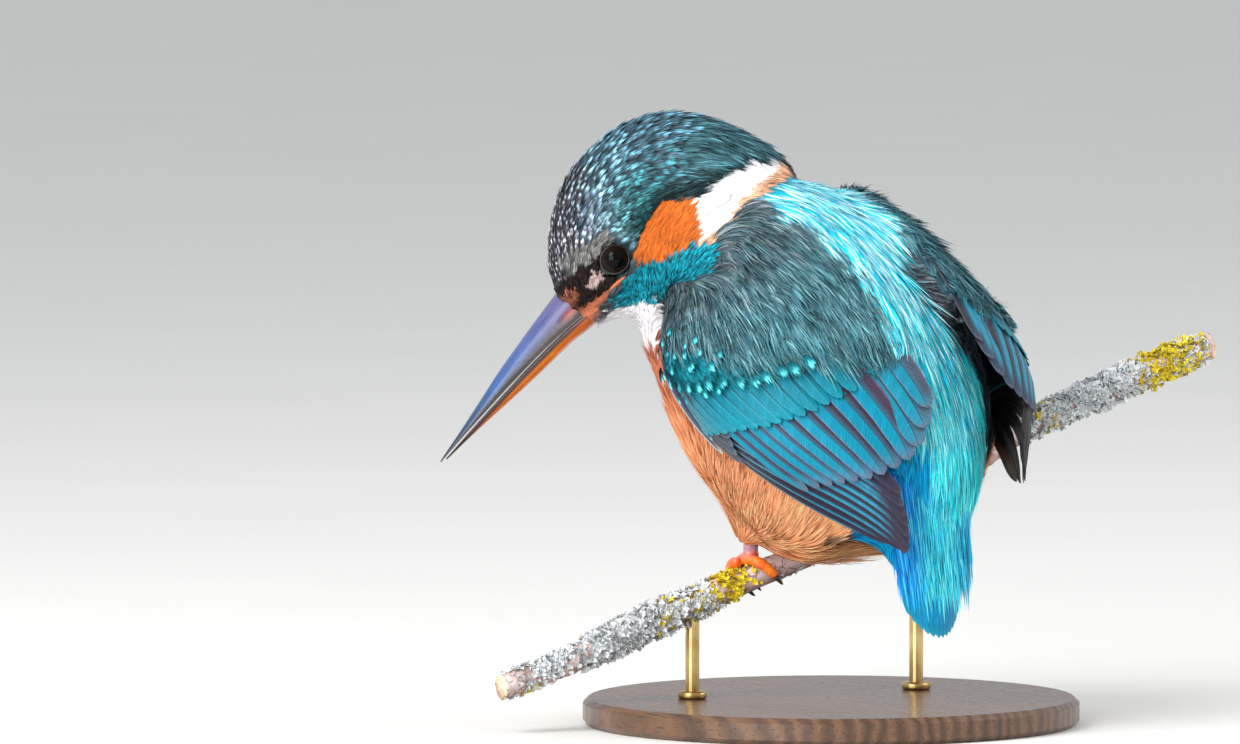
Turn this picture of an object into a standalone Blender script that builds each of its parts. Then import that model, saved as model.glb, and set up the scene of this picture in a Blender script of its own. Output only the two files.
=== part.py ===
"""A common kingfisher perched on a cut length of lichened branch, held up by a plain display stand.

Lengths are in millimetres until MM turns them into metres. Two frames carry the bird:
  the bird's frame has its origin on the branch's centre line between the feet, the trunk faces -X and its
  left side is -Y;
  the head's frame has its origin midway between the eyes, +X along the bill, +Y to the head's left and +Z
  through the crown.
The row frame has its origin under the middle of the stand's base, on the floor, with +Z up.
"""

import math

import bmesh
import bpy
from mathutils import Matrix, Vector

MM = 0.001
GAP = 0.35  # between neighbouring pieces

# Stand
BASE_RADIUS, BASE_HEIGHT, BASE_BEVEL = 46.0, 5.0, 1.0
ROD_RADIUS = 1.3
ROD_TOP_DROP = 2.0  # of a rod's uncut end under the branch's centre line
ROD_STATIONS = {"stand_rod_front": -21.0, "stand_rod_back": 25.0}  # along the branch
PERCH_POINT = Vector((-8.0, -2.0, 30.0))  # the bird frame's origin, in the row frame

# Branch: along it, height of its centre line, radius
BRANCH_YAW = 15.0  # degrees that it runs off the bird's left-right axis
BRANCH = [
    (-60.0, -21.5, 2.2),
    (-50.0, -18.5, 2.2),
    (-40.0, -14.7, 2.6),
    (-29.5, -10.4, 2.7),
    (-19.4, -6.7, 2.6),
    (-9.2, -3.0, 2.4),
    (0.5, 0.4, 2.4),
    (11.2, 4.3, 2.4),
    (22.0, 9.2, 2.5),
    (34.0, 15.6, 2.5),
    (48.0, 23.4, 2.3),
    (62.0, 28.8, 2.5),
    (72.6, 32.7, 2.7),
    (86.0, 37.1, 2.5),
]
BRANCH_SIDES = 12
LICHEN_CLUMPS = [  # along the branch, half length, height over the bark
    (-52.0, 7.0, 0.3),
    (-39.0, 8.0, 0.6),
    (-26.0, 10.0, 1.3),
    (58.0, 8.0, 0.9),
    (73.0, 9.0, 1.4),
]

# Trunk: dorsal x z, ventral x z, half width, sideways shift towards the turned head
TRUNK = [
    (-15.0, 69.5, -23.0, 59.0, 8.0, -15.0),
    (-4.0, 72.0, -27.0, 50.5, 14.5, -10.0),
    (8.5, 70.5, -28.0, 41.0, 20.0, -5.0),
    (21.0, 63.5, -27.0, 33.0, 24.0, -1.5),
    (31.5, 53.0, -23.0, 24.5, 26.5, 0.0),
    (39.5, 40.0, -17.0, 16.5, 26.5, 0.0),
    (43.8, 28.0, -10.5, 9.5, 24.0, 0.0),
    (44.5, 18.0, -3.5, 3.5, 19.0, 0.0),
    (43.3, 10.0, 7.5, -0.6, 13.0, 0.0),
    (42.4, 5.5, 20.0, 5.6, 9.5, 0.0),
    (42.0, 1.5, 30.0, 3.6, 7.5, -0.4),
    (41.2, -4.0, 36.2, -4.0, 5.5, 0.0),
]
THIGH_LIFT, THIGH_SIZE = 11.4, (6.0, 5.6, 7.5)  # the feathering above each foot

# Head, in its own frame: along the bill, top, bottom, half width
HEAD_ORIGIN = Vector((-26.4, -22.1, 56.0))
HEAD_TURN, HEAD_NOD = 130.0, 48.5  # degrees: the bill's way in plan, clockwise from +X, and its bow below level
HEAD = [
    (13.6, 2.6, -6.0, 4.2),
    (11.6, 5.4, -7.2, 5.6),
    (8.0, 9.4, -9.0, 7.6),
    (3.0, 13.2, -11.8, 9.8),
    (-3.0, 16.0, -14.8, 11.8),
    (-9.0, 17.0, -17.2, 13.4),
    (-15.0, 16.4, -19.0, 14.6),
    (-21.0, 14.7, -19.6, 14.8),
    (-26.5, 11.2, -19.4, 13.6),
    (-30.8, 5.6, -18.4, 11.0),
    (-33.6, -1.6, -16.8, 7.4),
    (-35.0, -7.4, -14.8, 3.6),
]
NECK_FROM, NECK_ALONG = Vector((-21.3, -16.0, 65.0)), Vector((0.644, 0.497, -0.58))  # head to trunk
NECK_SPAN, SLAB_HALF = (12.35, 20.0), 90.0
EYE_RADIUS, EYE_SIDE, EYE_BACK, EYE_DROP = 3.1, 8.55, -0.4, -0.4

# Bill, in the head's frame: along it, upper edge, lower edge, half width
BILL_LENGTH, BILL_RIDGE = 49.7, 0.78  # a ridge under 1 rounds its section out
UPPER_BILL = [
    (6.5, 3.6, -3.95, 5.3),
    (13.0, 3.15, -2.75, 4.35),
    (21.5, 2.4, -1.95, 3.5),
    (30.0, 1.5, -1.65, 2.7),
    (37.0, 0.4, -1.55, 1.9),
    (43.0, -0.5, -1.52, 1.2),
    (47.5, -1.1, -1.58, 0.6),
    (49.7, -1.45, -1.65, 0.25),
]
LOWER_BILL = [
    (6.5, -4.35, -6.4, 4.9),
    (12.4, -3.2, -5.9, 4.05),
    (17.0, -2.65, -5.1, 3.5),
    (24.7, -2.15, -4.5, 2.75),
    (31.2, -2.0, -3.85, 2.1),
    (37.0, -1.9, -3.2, 1.55),
    (43.0, -1.87, -2.6, 1.0),
    (48.6, -1.9, -2.15, 0.3),
]

# Folded wing, with +Y outward: lower edge, outermost line and upper edge of each section
WING = [
    ((-11.0, 19.0, 44.0), (-6.0, 23.5, 55.5), (3.0, 13.5, 68.5)),
    ((-6.5, 25.0, 35.5), (2.5, 28.8, 49.0), (14.0, 8.5, 67.0)),
    ((2.5, 27.5, 28.5), (14.0, 30.7, 41.8), (25.3, 6.2, 60.3)),
    ((12.5, 27.5, 22.0), (24.0, 30.0, 34.2), (35.2, 5.8, 49.2)),
    ((22.0, 25.0, 16.2), (32.0, 27.0, 26.5), (42.0, 6.2, 37.0)),
    ((30.0, 20.5, 11.0), (38.5, 21.5, 19.0), (45.8, 7.2, 26.3)),
    ((36.5, 16.3, 7.2), (42.6, 16.8, 12.2), (46.6, 9.2, 17.2)),
    ((41.2, 13.6, 4.8), (44.6, 13.6, 7.2), (46.4, 10.8, 10.2)),
    ((43.6, 12.6, 3.4), (45.2, 12.4, 4.2), (46.2, 11.6, 5.2)),
]
COVERTS_END = [(0.0, 0.345), (0.5, 0.475), (0.8, 0.49), (1.0, 0.46)]  # (across, along)
SECONDARIES_END = [(0.0, 0.40), (0.15, 0.49), (0.3, 0.60), (0.5, 0.665), (0.8, 0.675), (1.0, 0.65)]
FAR_WING_LIFT, FAR_WING_SPREAD = -14.0, -3.0  # degrees about the shoulder: tip up, tip out
SHOULDER = Vector((-2.0, 22.0, 52.0))
COVERT_CUSHION, COVERT_DEPTH, FLIGHT_DEPTH = 0.8, 2.2, 1.0
FEATHER_STEP = 0.8  # primaries lie this far under the secondaries
COVERT_SCALLOP, FLIGHT_SCALLOP, WING_JOINT = 0.008, 0.022, 0.006  # along the wing
WING_COLUMNS, WING_FEATHERS = 18, 6
WING_CLEARANCE, WING_CUT_HEIGHT = 0.5, 7.0

# Tail
TAIL_ROOT, TAIL_TIP = Vector((41.5, -1.0, 7.0)), Vector((40.2, 0.9, -12.2))
TAIL_HALF_ROOT, TAIL_HALF_TIP, TAIL_DEPTH, TAIL_THINNING = 8.8, 8.8, 1.6, 0.35
TAIL_ROOF, TAIL_ROUNDING, TAIL_SCALLOP, TAIL_FEATHERS = 2.2, 0.86, 0.05, 6

# Legs and feet: places along the branch
FOOT_STATIONS = {"left": -9.2, "right": 9.5}
GRIP_RADIUS = 2.4  # of the branch under the feet
GROOVE, GROOVE_REACH = 2.6, 24.0  # room in the belly for the gripped branch: over its bark, along it
TOE_RADIUS, TOE_SPACING, TARSUS_RADIUS, TARSUS_LENGTH = 0.95, 1.75, 1.35, 6.0
TOE_SWEEPS = [(-1, 100.0), (0, 122.0), (1, 108.0)]  # place, degrees wrapped over the front
HALLUX_SWEEP, HALLUX_SLANT = -100.0, 3.2
CLAW_LENGTH = 2.6

FINISHES = {  # colour, roughness, metallic
    "crown": ((0.05, 0.16, 0.20), 0.7, 0.0),
    "orange": ((0.80, 0.30, 0.10), 0.8, 0.0),
    "scapular": ((0.08, 0.24, 0.26), 0.7, 0.0),
    "turquoise": ((0.03, 0.42, 0.50), 0.55, 0.0),
    "slate": ((0.10, 0.09, 0.13), 0.6, 0.0),
    "azure": ((0.02, 0.50, 0.66), 0.6, 0.0),
    "bill": ((0.05, 0.05, 0.06), 0.3, 0.0),
    "bill_orange": ((0.62, 0.17, 0.03), 0.35, 0.0),
    "eye": ((0.01, 0.01, 0.01), 0.06, 0.0),
    "foot": ((0.80, 0.13, 0.04), 0.4, 0.0),
    "claw": ((0.06, 0.04, 0.04), 0.35, 0.0),
    "bark": ((0.42, 0.38, 0.33), 0.9, 0.0),
    "walnut": ((0.16, 0.08, 0.04), 0.4, 0.0),
    "brass": ((0.75, 0.55, 0.25), 0.3, 1.0),
}


# ---------------------------------------------------------------- small tools


def clear_scene():
    for obj in list(bpy.data.objects):
        bpy.data.objects.remove(obj, do_unlink=True)


def material(name):
    """One Principled material for each named finish."""
    found = bpy.data.materials.get(name)
    if found:
        return found
    colour, roughness, metallic = FINISHES[name]
    made = bpy.data.materials.new(name)
    made.use_nodes = True
    shader = made.node_tree.nodes["Principled BSDF"]
    shader.inputs["Base Color"].default_value = (*colour, 1.0)
    shader.inputs["Roughness"].default_value = roughness
    shader.inputs["Metallic"].default_value = metallic
    return made


def curve_weights(t):
    """Catmull-Rom weights of four neighbouring rows, at t from the second to the third."""
    return (
        (-t + 2 * t**2 - t**3) / 2,
        (2 - 5 * t**2 + 3 * t**3) / 2,
        (t + 4 * t**2 - 3 * t**3) / 2,
        (-(t**2) + t**3) / 2,
    )


def neighbours(rows, first):
    """The four rows about the span that starts at a row, with the end rows repeated."""
    return [rows[max(0, min(len(rows) - 1, first + k))] for k in (-1, 0, 1, 2)]


def smooth_rows(rows, steps):
    """The rows with more rows between them, on a smooth curve through all of their values."""
    made = []
    for i in range(len(rows) - 1):
        four = neighbours(rows, i)
        for step in range(steps):
            weights = curve_weights(step / steps)
            made.append(tuple(sum(w * v for w, v in zip(weights, values)) for values in zip(*four)))
    made.append(tuple(rows[-1]))
    return made


def between(table, at):
    """The value of a table of (place, value) rows at a place, by straight lines."""
    for (x0, y0), (x1, y1) in zip(table, table[1:]):
        if at <= x1:
            return y0 + (y1 - y0) * (at - x0) / (x1 - x0)
    return table[-1][1]


def new_object(name, mesh, colour, parent=None):
    obj = bpy.data.objects.new(name, mesh)
    bpy.context.scene.collection.objects.link(obj)
    mesh.materials.append(material(colour))
    obj.parent = parent
    return obj


def helper(obj):
    """A shape that cuts or guides others and isn't a piece itself."""
    obj.hide_render = True
    obj.display_type = "WIRE"
    return obj


def loft(name, rings, colour, parent=None, banded=False):
    """A closed mesh through rings of points in millimetres.

    Each end closes with a fan about its middle, or for a banded ring, which runs out over a curved sheet
    and back under it, with faces from its first half across to its second.
    """
    shape = bmesh.new()
    loops = [[shape.verts.new(p * MM) for p in ring] for ring in rings]
    count = len(rings[0])
    for lower, upper in zip(loops, loops[1:]):
        for i in range(count):
            j = (i + 1) % count
            shape.faces.new((lower[i], lower[j], upper[j], upper[i]))
    for loop_end in (loops[0], loops[-1]):
        if banded:
            for i in range(count // 2 - 1):
                shape.faces.new((loop_end[i], loop_end[i + 1], loop_end[-2 - i], loop_end[-1 - i]))
            continue
        middle = shape.verts.new(sum((v.co for v in loop_end), Vector()) / count)
        for i in range(count):
            shape.faces.new((loop_end[i], loop_end[(i + 1) % count], middle))
    bmesh.ops.recalc_face_normals(shape, faces=shape.faces)
    mesh = bpy.data.meshes.new(name)
    shape.to_mesh(mesh)
    shape.free()
    mesh.shade_smooth()
    mesh.set_sharp_from_angle(angle=math.radians(40))
    return new_object(name, mesh, colour, parent)


def oval(centre, half_a, half_b, sides, power=2.0):
    """A ring about a centre, from two half axes; a power over 2 makes it squarer."""
    ring = []
    for i in range(sides):
        angle = math.tau * i / sides
        c, s = math.cos(angle), math.sin(angle)
        a = math.copysign(abs(c) ** (2 / power), c)
        b = math.copysign(abs(s) ** (2 / power), s)
        ring.append(centre + half_a * a + half_b * b)
    return ring


def apply_modifiers(obj):
    """The object with its modifiers' result as its own mesh."""
    graph = bpy.context.evaluated_depsgraph_get()
    graph.update()
    mesh = bpy.data.meshes.new_from_object(obj.evaluated_get(graph))
    obj.modifiers.clear()
    obj.data = mesh
    return obj


def boolean(obj, cutter, operation="DIFFERENCE"):
    """A Boolean modifier; EXACT empties the feathered body where its thin edges are cut, MANIFOLD keeps it."""
    modifier = obj.modifiers.new(operation.title() + " " + cutter.name, "BOOLEAN")
    modifier.operation = operation
    modifier.solver = "MANIFOLD"
    modifier.object = cutter


def joined(name, objects, colour, parent=None):
    """One object from several, in the first one's frame; the others go away."""
    shape = bmesh.new()
    for obj in objects:
        copy = obj.data.copy()
        copy.transform(objects[0].matrix_world.inverted() @ obj.matrix_world)
        shape.from_mesh(copy)
    mesh = bpy.data.meshes.new(name)
    shape.to_mesh(mesh)
    shape.free()
    for obj in objects:
        bpy.data.objects.remove(obj)
    return new_object(name, mesh, colour, parent)


# ---------------------------------------------------------------- frames


def head_matrix():
    """The head's frame within the bird's, in metres."""
    turn, nod = math.radians(HEAD_TURN), math.radians(HEAD_NOD)
    level = Vector((math.cos(turn), -math.sin(turn), 0.0))
    forward = level * math.cos(nod) + Vector((0, 0, -math.sin(nod)))
    up = level * math.sin(nod) + Vector((0, 0, math.cos(nod)))
    left = up.cross(forward)
    turned = Matrix((forward, left, up)).transposed().to_4x4()
    return Matrix.Translation(HEAD_ORIGIN * MM) @ turned


def branch_direction():
    yaw = math.radians(BRANCH_YAW)
    return Vector((math.sin(yaw), math.cos(yaw), 0.0))


def branch_at(station):
    """The branch's centre line and direction at a place along it."""
    heights = [(s, z) for s, z, _ in smooth_rows(BRANCH, 6)]
    along = branch_direction()
    here = along * station + Vector((0, 0, between(heights, station)))
    ahead = along * (station + 0.5) + Vector((0, 0, between(heights, station + 0.5)))
    return here, (ahead - here).normalized()


# ---------------------------------------------------------------- the bird


def trunk_rings(sides=30):
    rings = []
    for dx, dz, vx, vz, half, shift in smooth_rows(TRUNK, 3):
        dorsal, ventral = Vector((dx, shift, dz)), Vector((vx, shift, vz))
        rings.append(oval((dorsal + ventral) / 2, (dorsal - ventral) / 2, Vector((0, half, 0)), sides, 2.15))
    return rings


def head_rings(sides=26):
    rings = []
    for x, top, bottom, half in smooth_rows(HEAD, 2):
        centre = Vector((x, 0, (top + bottom) / 2))
        rings.append(oval(centre, Vector((0, 0, (top - bottom) / 2)), Vector((0, half, 0)), sides, 2.1))
    return rings


def wing_point(along, across):
    """A point of the folded wing's guide surface."""
    place = along * (len(WING) - 1)
    first = max(0, min(len(WING) - 2, int(place)))
    sections = list(zip(curve_weights(place - first), neighbours(WING, first)))
    lower, middle, upper = (sum((w * Vector(row[k]) for w, row in sections), Vector()) for k in range(3))
    q = across
    return lower * ((1 - q) * (1 - 2 * q)) + middle * (4 * q * (1 - q)) + upper * (q * (2 * q - 1))


def wing_normal(along, across):
    step = 0.01
    a = wing_point(along + step, across) - wing_point(along - step, across)
    b = wing_point(along, across + step) - wing_point(along, across - step)
    return b.cross(a).normalized()


def wing_panel(name, span, skins, rows, colour, pose, parent, margin=0.0):
    """A closed panel over the guide surface, wider than it by a margin.

    span holds where it starts and ends along the wing for a place across it. skins holds the heights of
    its outer and inner skins over the guide surface, for a place along the panel and across it. pose
    moves the finished points to their side of the bird.
    """
    rings = []
    for i in range(rows + 1):
        s = i / rows
        outer, inner = [], []
        for j in range(WING_COLUMNS + 1):
            q = -margin + (1 + 2 * margin) * j / WING_COLUMNS
            start, end = (edge(q) for edge in span)
            p = start + s * (end - start)
            point, normal = wing_point(p, q), wing_normal(p, q)
            outer.append(pose @ (point + normal * skins[0](s, q)))
            inner.append(pose @ (point + normal * skins[1](s, q)))
        rings.append(outer + inner[::-1])
    return loft(name, rings, colour, parent, banded=True)


def wing_pose(side):
    """Where one folded wing lies: the left one mirrored, the right one lifted and spread at the shoulder."""
    if side == "left":
        return Matrix.Scale(-1, 4, (0, 1, 0))
    about = Matrix.Translation(SHOULDER)
    lift = Matrix.Rotation(math.radians(FAR_WING_LIFT), 4, "Y")
    spread = Matrix.Rotation(math.radians(FAR_WING_SPREAD), 4, "Z")
    return about @ spread @ lift @ about.inverted()


def scallop(place):
    """0 at a feather's tip and 1 between two tips, for a place counted in feathers."""
    return 1 - math.sqrt(abs(math.sin(math.pi * place)))


def tips(base, depth):
    """An edge over the wing's width that dips back between feather tips."""
    return lambda q: between(base, q) - depth * scallop(WING_FEATHERS * q)


def after(edge):
    """An edge a gap further along the wing."""
    return lambda q: edge(q) + WING_JOINT


def level(height):
    """A skin at one height over the guide surface."""
    return lambda s, q: height


def cushion(s, q):
    """The coverts' skin, which swells between the wing's edges and sinks into the shoulder."""
    along = math.sin(math.pi * (0.1 + 0.9 * s))
    return 0.2 + COVERT_CUSHION * max(0.0, along) ** 0.7 * math.sqrt(max(0.0, math.sin(math.pi * q)))


def wing(side, frame):
    """The three panels of one folded wing, and the cutter that clears the body for them."""
    pose = wing_pose(side)
    coverts_end = tips(COVERTS_END, COVERT_SCALLOP)
    secondaries_end = tips(SECONDARIES_END, FLIGHT_SCALLOP)
    under = -FEATHER_STEP - FLIGHT_DEPTH
    wing_panel(
        f"wing_{side}_coverts",
        (lambda q: 0.0, coverts_end),
        (cushion, level(-COVERT_DEPTH)),
        7,
        "scapular",
        pose,
        frame,
    )
    wing_panel(
        f"wing_{side}_secondaries",
        (after(coverts_end), secondaries_end),
        (lambda s, q: 0.1 + 0.3 * s, level(-FLIGHT_DEPTH)),
        3,
        "turquoise",
        pose,
        frame,
    )
    wing_panel(
        f"wing_{side}_primaries",
        (after(secondaries_end), tips([(0.0, 1.0), (1.0, 0.99)], FLIGHT_SCALLOP)),
        (level(-FEATHER_STEP), lambda s, q: under + 0.2 * s),
        4,
        "slate",
        pose,
        frame,
    )
    room = (level(WING_CUT_HEIGHT), level(-COVERT_DEPTH - WING_CLEARANCE))
    cutter = wing_panel(
        f"cut_wing_{side}", (lambda q: -0.012, lambda q: 1.01), room, 12, "scapular", pose, frame, margin=0.02
    )
    return helper(cutter)


def tail_rings(grow=0.0):
    """Rings over a shallow roof of feathers with a rounded, scalloped end."""
    down = TAIL_TIP - TAIL_ROOT
    back = Vector((-down.z, 0, down.x)).normalized()
    columns, rows = 3 * TAIL_FEATHERS, 4
    rings = []
    for i in range(rows + 1):
        s = i / rows
        half = TAIL_HALF_ROOT + (TAIL_HALF_TIP - TAIL_HALF_ROOT) * s + grow
        depth = TAIL_DEPTH * (1 - TAIL_THINNING * s)
        outer, inner = [], []
        for j in range(columns + 1):
            q = 2 * j / columns - 1
            round_end = math.sqrt(1 - (TAIL_ROUNDING * q) ** 2) - TAIL_SCALLOP * scallop(j / 3)
            line = TAIL_ROOT + down * (s * (1 + round_end) / 2)
            line += Vector((0, half * q, 0)) - back * (TAIL_ROOF * q * q)
            outer.append(line + back * grow)
            inner.append(line - back * (depth + grow))
        rings.append(outer + inner[::-1])
    return rings


def eye(name, side, frame, grow=0.0):
    shape = bmesh.new()
    bmesh.ops.create_icosphere(shape, subdivisions=2 if grow else 3, radius=(EYE_RADIUS + grow) * MM)
    mesh = bpy.data.meshes.new(name)
    shape.to_mesh(mesh)
    shape.free()
    mesh.shade_smooth()
    obj = new_object(name, mesh, "eye", frame)
    obj.location = Vector((EYE_BACK, side * EYE_SIDE, EYE_DROP)) * MM
    return obj


def bill_half(name, rows, colour, frame, grow=0.0):
    """One mandible: a flat side towards the other one and a ridged outer side.

    The upper mandible's ridge is its first edge and the lower one's is its second.
    """
    upper = rows is UPPER_BILL
    out = 1 if upper else -1
    rings = []
    for x, top, bottom, half in rows:
        flat, crest = (bottom, top) if upper else (top, bottom)
        flat, crest = flat - out * grow, crest + out * grow
        reach = x + (grow if x > BILL_LENGTH / 2 else 0.0)
        ring = []
        for i in range(9):
            angle = math.pi * i / 8
            rise = math.sin(angle) ** BILL_RIDGE
            ring.append(Vector((reach, (half + grow) * math.cos(angle), flat + (crest - flat) * rise)))
        for i in range(1, 4):
            ring.append(Vector((reach, (half + grow) * (i / 2 - 1), flat)))
        rings.append(ring)
    return loft(name, rings, colour, frame)


def tube(name, points, radii, colour, parent, sides=9):
    """A tube through points, whose rings lie across its path."""
    rings = []
    for i, point in enumerate(points):
        ahead = (points[min(i + 1, len(points) - 1)] - points[max(i - 1, 0)]).normalized()
        across = ahead.cross(branch_direction()).normalized()
        rings.append(oval(point, across * radii[i], ahead.cross(across) * radii[i], sides))
    return loft(name, rings, colour, parent)


def toe_path(station, place, start, sweep, lift, steps):
    """Points round the branch, from one angle to another from its top towards its front."""
    return [toe_point(station, place, start + (sweep - start) * i / steps, lift) for i in range(steps + 1)]


def toe_point(station, place, degrees, lift):
    """A point at a height over the branch's centre line; the hind toe slants along the branch."""
    slant = HALLUX_SLANT * min(0.0, degrees) / HALLUX_SWEEP
    here, along = branch_at(station + place * TOE_SPACING + slant)
    front = Vector((0, 0, 1)).cross(along).normalized()
    if front.x > 0:
        front = -front
    over = along.cross(front).normalized()
    over = over if over.z > 0 else -over
    angle = math.radians(degrees)
    return here + (front * math.sin(angle) + over * math.cos(angle)) * lift


def foot(side, station, frame):
    """Three toes over the front of the branch and one behind, as one piece."""
    lift = GRIP_RADIUS + GAP + TOE_RADIUS
    pieces = []
    for place, sweep in [*TOE_SWEEPS, (0, HALLUX_SWEEP)]:
        start = -12.0 if sweep > 0 else 12.0
        path = toe_path(station, place, start, sweep, lift, 7)
        radii = [TOE_RADIUS * (1.0 - 0.022 * i) for i in range(8)]
        pieces.append(tube(f"toe_{side}_{sweep:.0f}", path, radii, "foot", frame))
    bpy.context.view_layer.update()
    made = joined(f"foot_{side}", pieces, "foot", frame)
    remesh = made.modifiers.new("One skin", "REMESH")
    remesh.mode = "VOXEL"
    remesh.voxel_size = 0.32 * MM
    fewer = made.modifiers.new("Fewer faces", "DECIMATE")
    fewer.ratio = 0.085
    return made


def leg(name, station, frame, grow=0.0):
    """The short bare shank, from the foot up into the belly's feathers."""
    here, _ = branch_at(station)
    start = GRIP_RADIUS + GAP + 2 * TOE_RADIUS + 2 * GAP - grow
    shank = [here + Vector((0.1 * k, 0, start + k * (TARSUS_LENGTH + 2 * grow) / 3)) for k in range(4)]
    return tube(name, shank, [TARSUS_RADIUS + grow] * 4, "foot", frame, 10)


def claws(side, station, frame):
    """A tapered, curved claw beyond the end of each toe."""
    made = []
    for number, (place, sweep) in enumerate([*TOE_SWEEPS, (0, HALLUX_SWEEP)], 1):
        lift = GRIP_RADIUS + GAP + TOE_RADIUS
        turn = math.copysign(math.degrees(CLAW_LENGTH / lift), sweep)
        first = sweep + math.copysign(15.0, sweep)
        path = toe_path(station, place, first, first + turn, lift - 0.15, 3)
        made.append(tube(f"claw_{side}_{number}", path, [0.5, 0.44, 0.35, 0.25], "claw", frame, 5))
    return made


def thigh(station, frame):
    """The round of feathers that hides the top of a shank."""
    middle = branch_at(station)[0] + Vector((0.5, 0, THIGH_LIFT))
    rings = []
    for i in range(1, 8):
        angle = math.pi * i / 8
        centre = middle - Vector((0, 0, THIGH_SIZE[2] * math.cos(angle)))
        long, wide = (size * math.sin(angle) for size in THIGH_SIZE[:2])
        rings.append(oval(centre, Vector((long, 0, 0)), Vector((0, wide, 0)), 12))
    return loft("thigh", rings, "orange", frame)


def body_form(frame, head_frame):
    """Trunk and head blended into one skin."""
    trunk = loft("trunk_loft", trunk_rings(), "azure", frame)
    parts = [trunk, loft("head_loft", head_rings(), "crown", head_frame)]
    for station in FOOT_STATIONS.values():
        parts.append(thigh(station, frame))
    bpy.context.view_layer.update()
    form = joined("body_form", parts, "azure", frame)
    blend = form.modifiers.new("Blend", "REMESH")
    blend.mode = "VOXEL"
    blend.voxel_size = 1.0 * MM
    relax = form.modifiers.new("Relax", "SMOOTH")
    relax.factor = 0.5
    relax.iterations = 8
    fewer = form.modifiers.new("Fewer faces", "DECIMATE")
    fewer.ratio = 0.041
    return apply_modifiers(form)


def divide(form, frame):
    """Head, neck and trunk, parted by two thin cuts across the neck."""
    near, far = NECK_SPAN
    spans = {
        "head": (-SLAB_HALF, near - GAP, "crown"),
        "neck": (near, far, "scapular"),
        "trunk": (far + GAP, 2 * SLAB_HALF, "orange"),
    }
    for name, (start, end, colour) in spans.items():
        piece = new_object(name, form.data.copy(), colour, frame)
        boolean(piece, slab(f"cut_{name}", NECK_FROM, NECK_ALONG.normalized(), start, end, frame), "INTERSECT")


def slab(name, point, direction, near, far, frame):
    """A wide block that spans from near to far along a direction from a point."""
    across = direction.orthogonal().normalized()
    other = direction.cross(across)
    corners = [(across * a + other * b) * SLAB_HALF for a, b in ((-1, -1), (1, -1), (1, 1), (-1, 1))]
    rings = [[point + direction * reach + corner for corner in corners] for reach in (near, far)]
    return helper(loft(name, rings, "azure", frame))


# ---------------------------------------------------------------- perch and stand


def perch(frame, grow=0.0, reach=None, name="perch"):
    """The branch as a knobbly tube, thicker where lichen grows on it."""
    rings = []
    rows = smooth_rows(BRANCH, 3)
    for station, _, radius in rows:
        if reach and abs(station) > reach:
            continue
        here, along = branch_at(station)
        side = along.cross(Vector((0, 0, 1))).normalized()
        over = side.cross(along)
        ring = []
        for i in range(BRANCH_SIDES):
            angle = math.tau * i / BRANCH_SIDES
            clump = sum(
                h * max(0.0, 1 - ((station - at) / half) ** 2) * (0.55 + 0.45 * math.sin(angle))
                for at, half, h in LICHEN_CLUMPS
            )
            knob = 0.1 * math.sin(3 * angle + station * 0.7) * min(1.0, max(0.0, abs(station) / 8 - 1.9))
            lump = grow if grow else clump + knob
            ring.append(here + (side * math.cos(angle) + over * math.sin(angle)) * (radius + lump))
        rings.append(ring)
    return loft(name, rings, "bark", frame)


def stand(frame):
    """The round base and its two rods, which end just under the branch."""
    shape = bmesh.new()
    radius = BASE_RADIUS * MM
    bmesh.ops.create_cone(
        shape, cap_ends=True, segments=56, radius1=radius, radius2=radius, depth=BASE_HEIGHT * MM
    )
    mesh = bpy.data.meshes.new("stand_base")
    shape.to_mesh(mesh)
    shape.free()
    base = new_object("stand_base", mesh, "walnut")
    base.location.z = BASE_HEIGHT * MM / 2
    edge = base.modifiers.new("Eased edges", "BEVEL")
    edge.width = BASE_BEVEL * MM
    edge.segments = 1
    for name, station in ROD_STATIONS.items():
        here, _ = branch_at(station)
        foot_point = here + PERCH_POINT
        top = foot_point.z - ROD_TOP_DROP
        half_x, half_y = Vector((ROD_RADIUS, 0, 0)), Vector((0, ROD_RADIUS, 0))
        rings = [
            oval(Vector((foot_point.x, foot_point.y, height)), half_x, half_y, 16)
            for height in (BASE_HEIGHT + GAP, top)
        ]
        rod = loft(name, rings, "brass")
        boolean(rod, bpy.data.objects["cut_perch"])


def main():
    clear_scene()
    bird = bpy.data.objects.new("bird_frame", None)
    head_frame = bpy.data.objects.new("head_frame", None)
    for empty in (bird, head_frame):
        bpy.context.scene.collection.objects.link(empty)
    bird.location = PERCH_POINT * MM
    head_frame.parent = bird
    head_frame.matrix_local = head_matrix()
    bpy.context.view_layer.update()

    perch(bird)
    helper(perch(bird, grow=GAP, name="cut_perch"))
    groove = helper(perch(bird, grow=GROOVE, reach=GROOVE_REACH, name="cut_groove"))
    stand(bird)

    cutters = [groove, wing("left", bird), wing("right", bird)]
    loft("tail", tail_rings(), "azure", bird, banded=True)
    cutters.append(helper(loft("cut_tail", tail_rings(GAP), "azure", bird, banded=True)))

    for name, side in (("eye_left", 1), ("eye_right", -1)):
        eye(name, side, head_frame)
        cutters.append(helper(eye("cut_" + name, side, head_frame, GAP)))
    for name, rows, colour in (("bill_upper", UPPER_BILL, "bill"), ("bill_lower", LOWER_BILL, "bill_orange")):
        bill_half(name, rows, colour, head_frame)
        cutters.append(helper(bill_half("cut_" + name, rows, colour, head_frame, GAP)))

    for side, station in FOOT_STATIONS.items():
        foot(side, station, bird)
        leg(f"leg_{side}", station, bird)
        cutters.append(helper(leg(f"cut_leg_{side}", station, bird, GAP)))
        claws(side, station, bird)

    form = body_form(bird, head_frame)
    for cutter in cutters:
        boolean(form, cutter)
    helper(apply_modifiers(form))
    divide(form, bird)


main()
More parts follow.
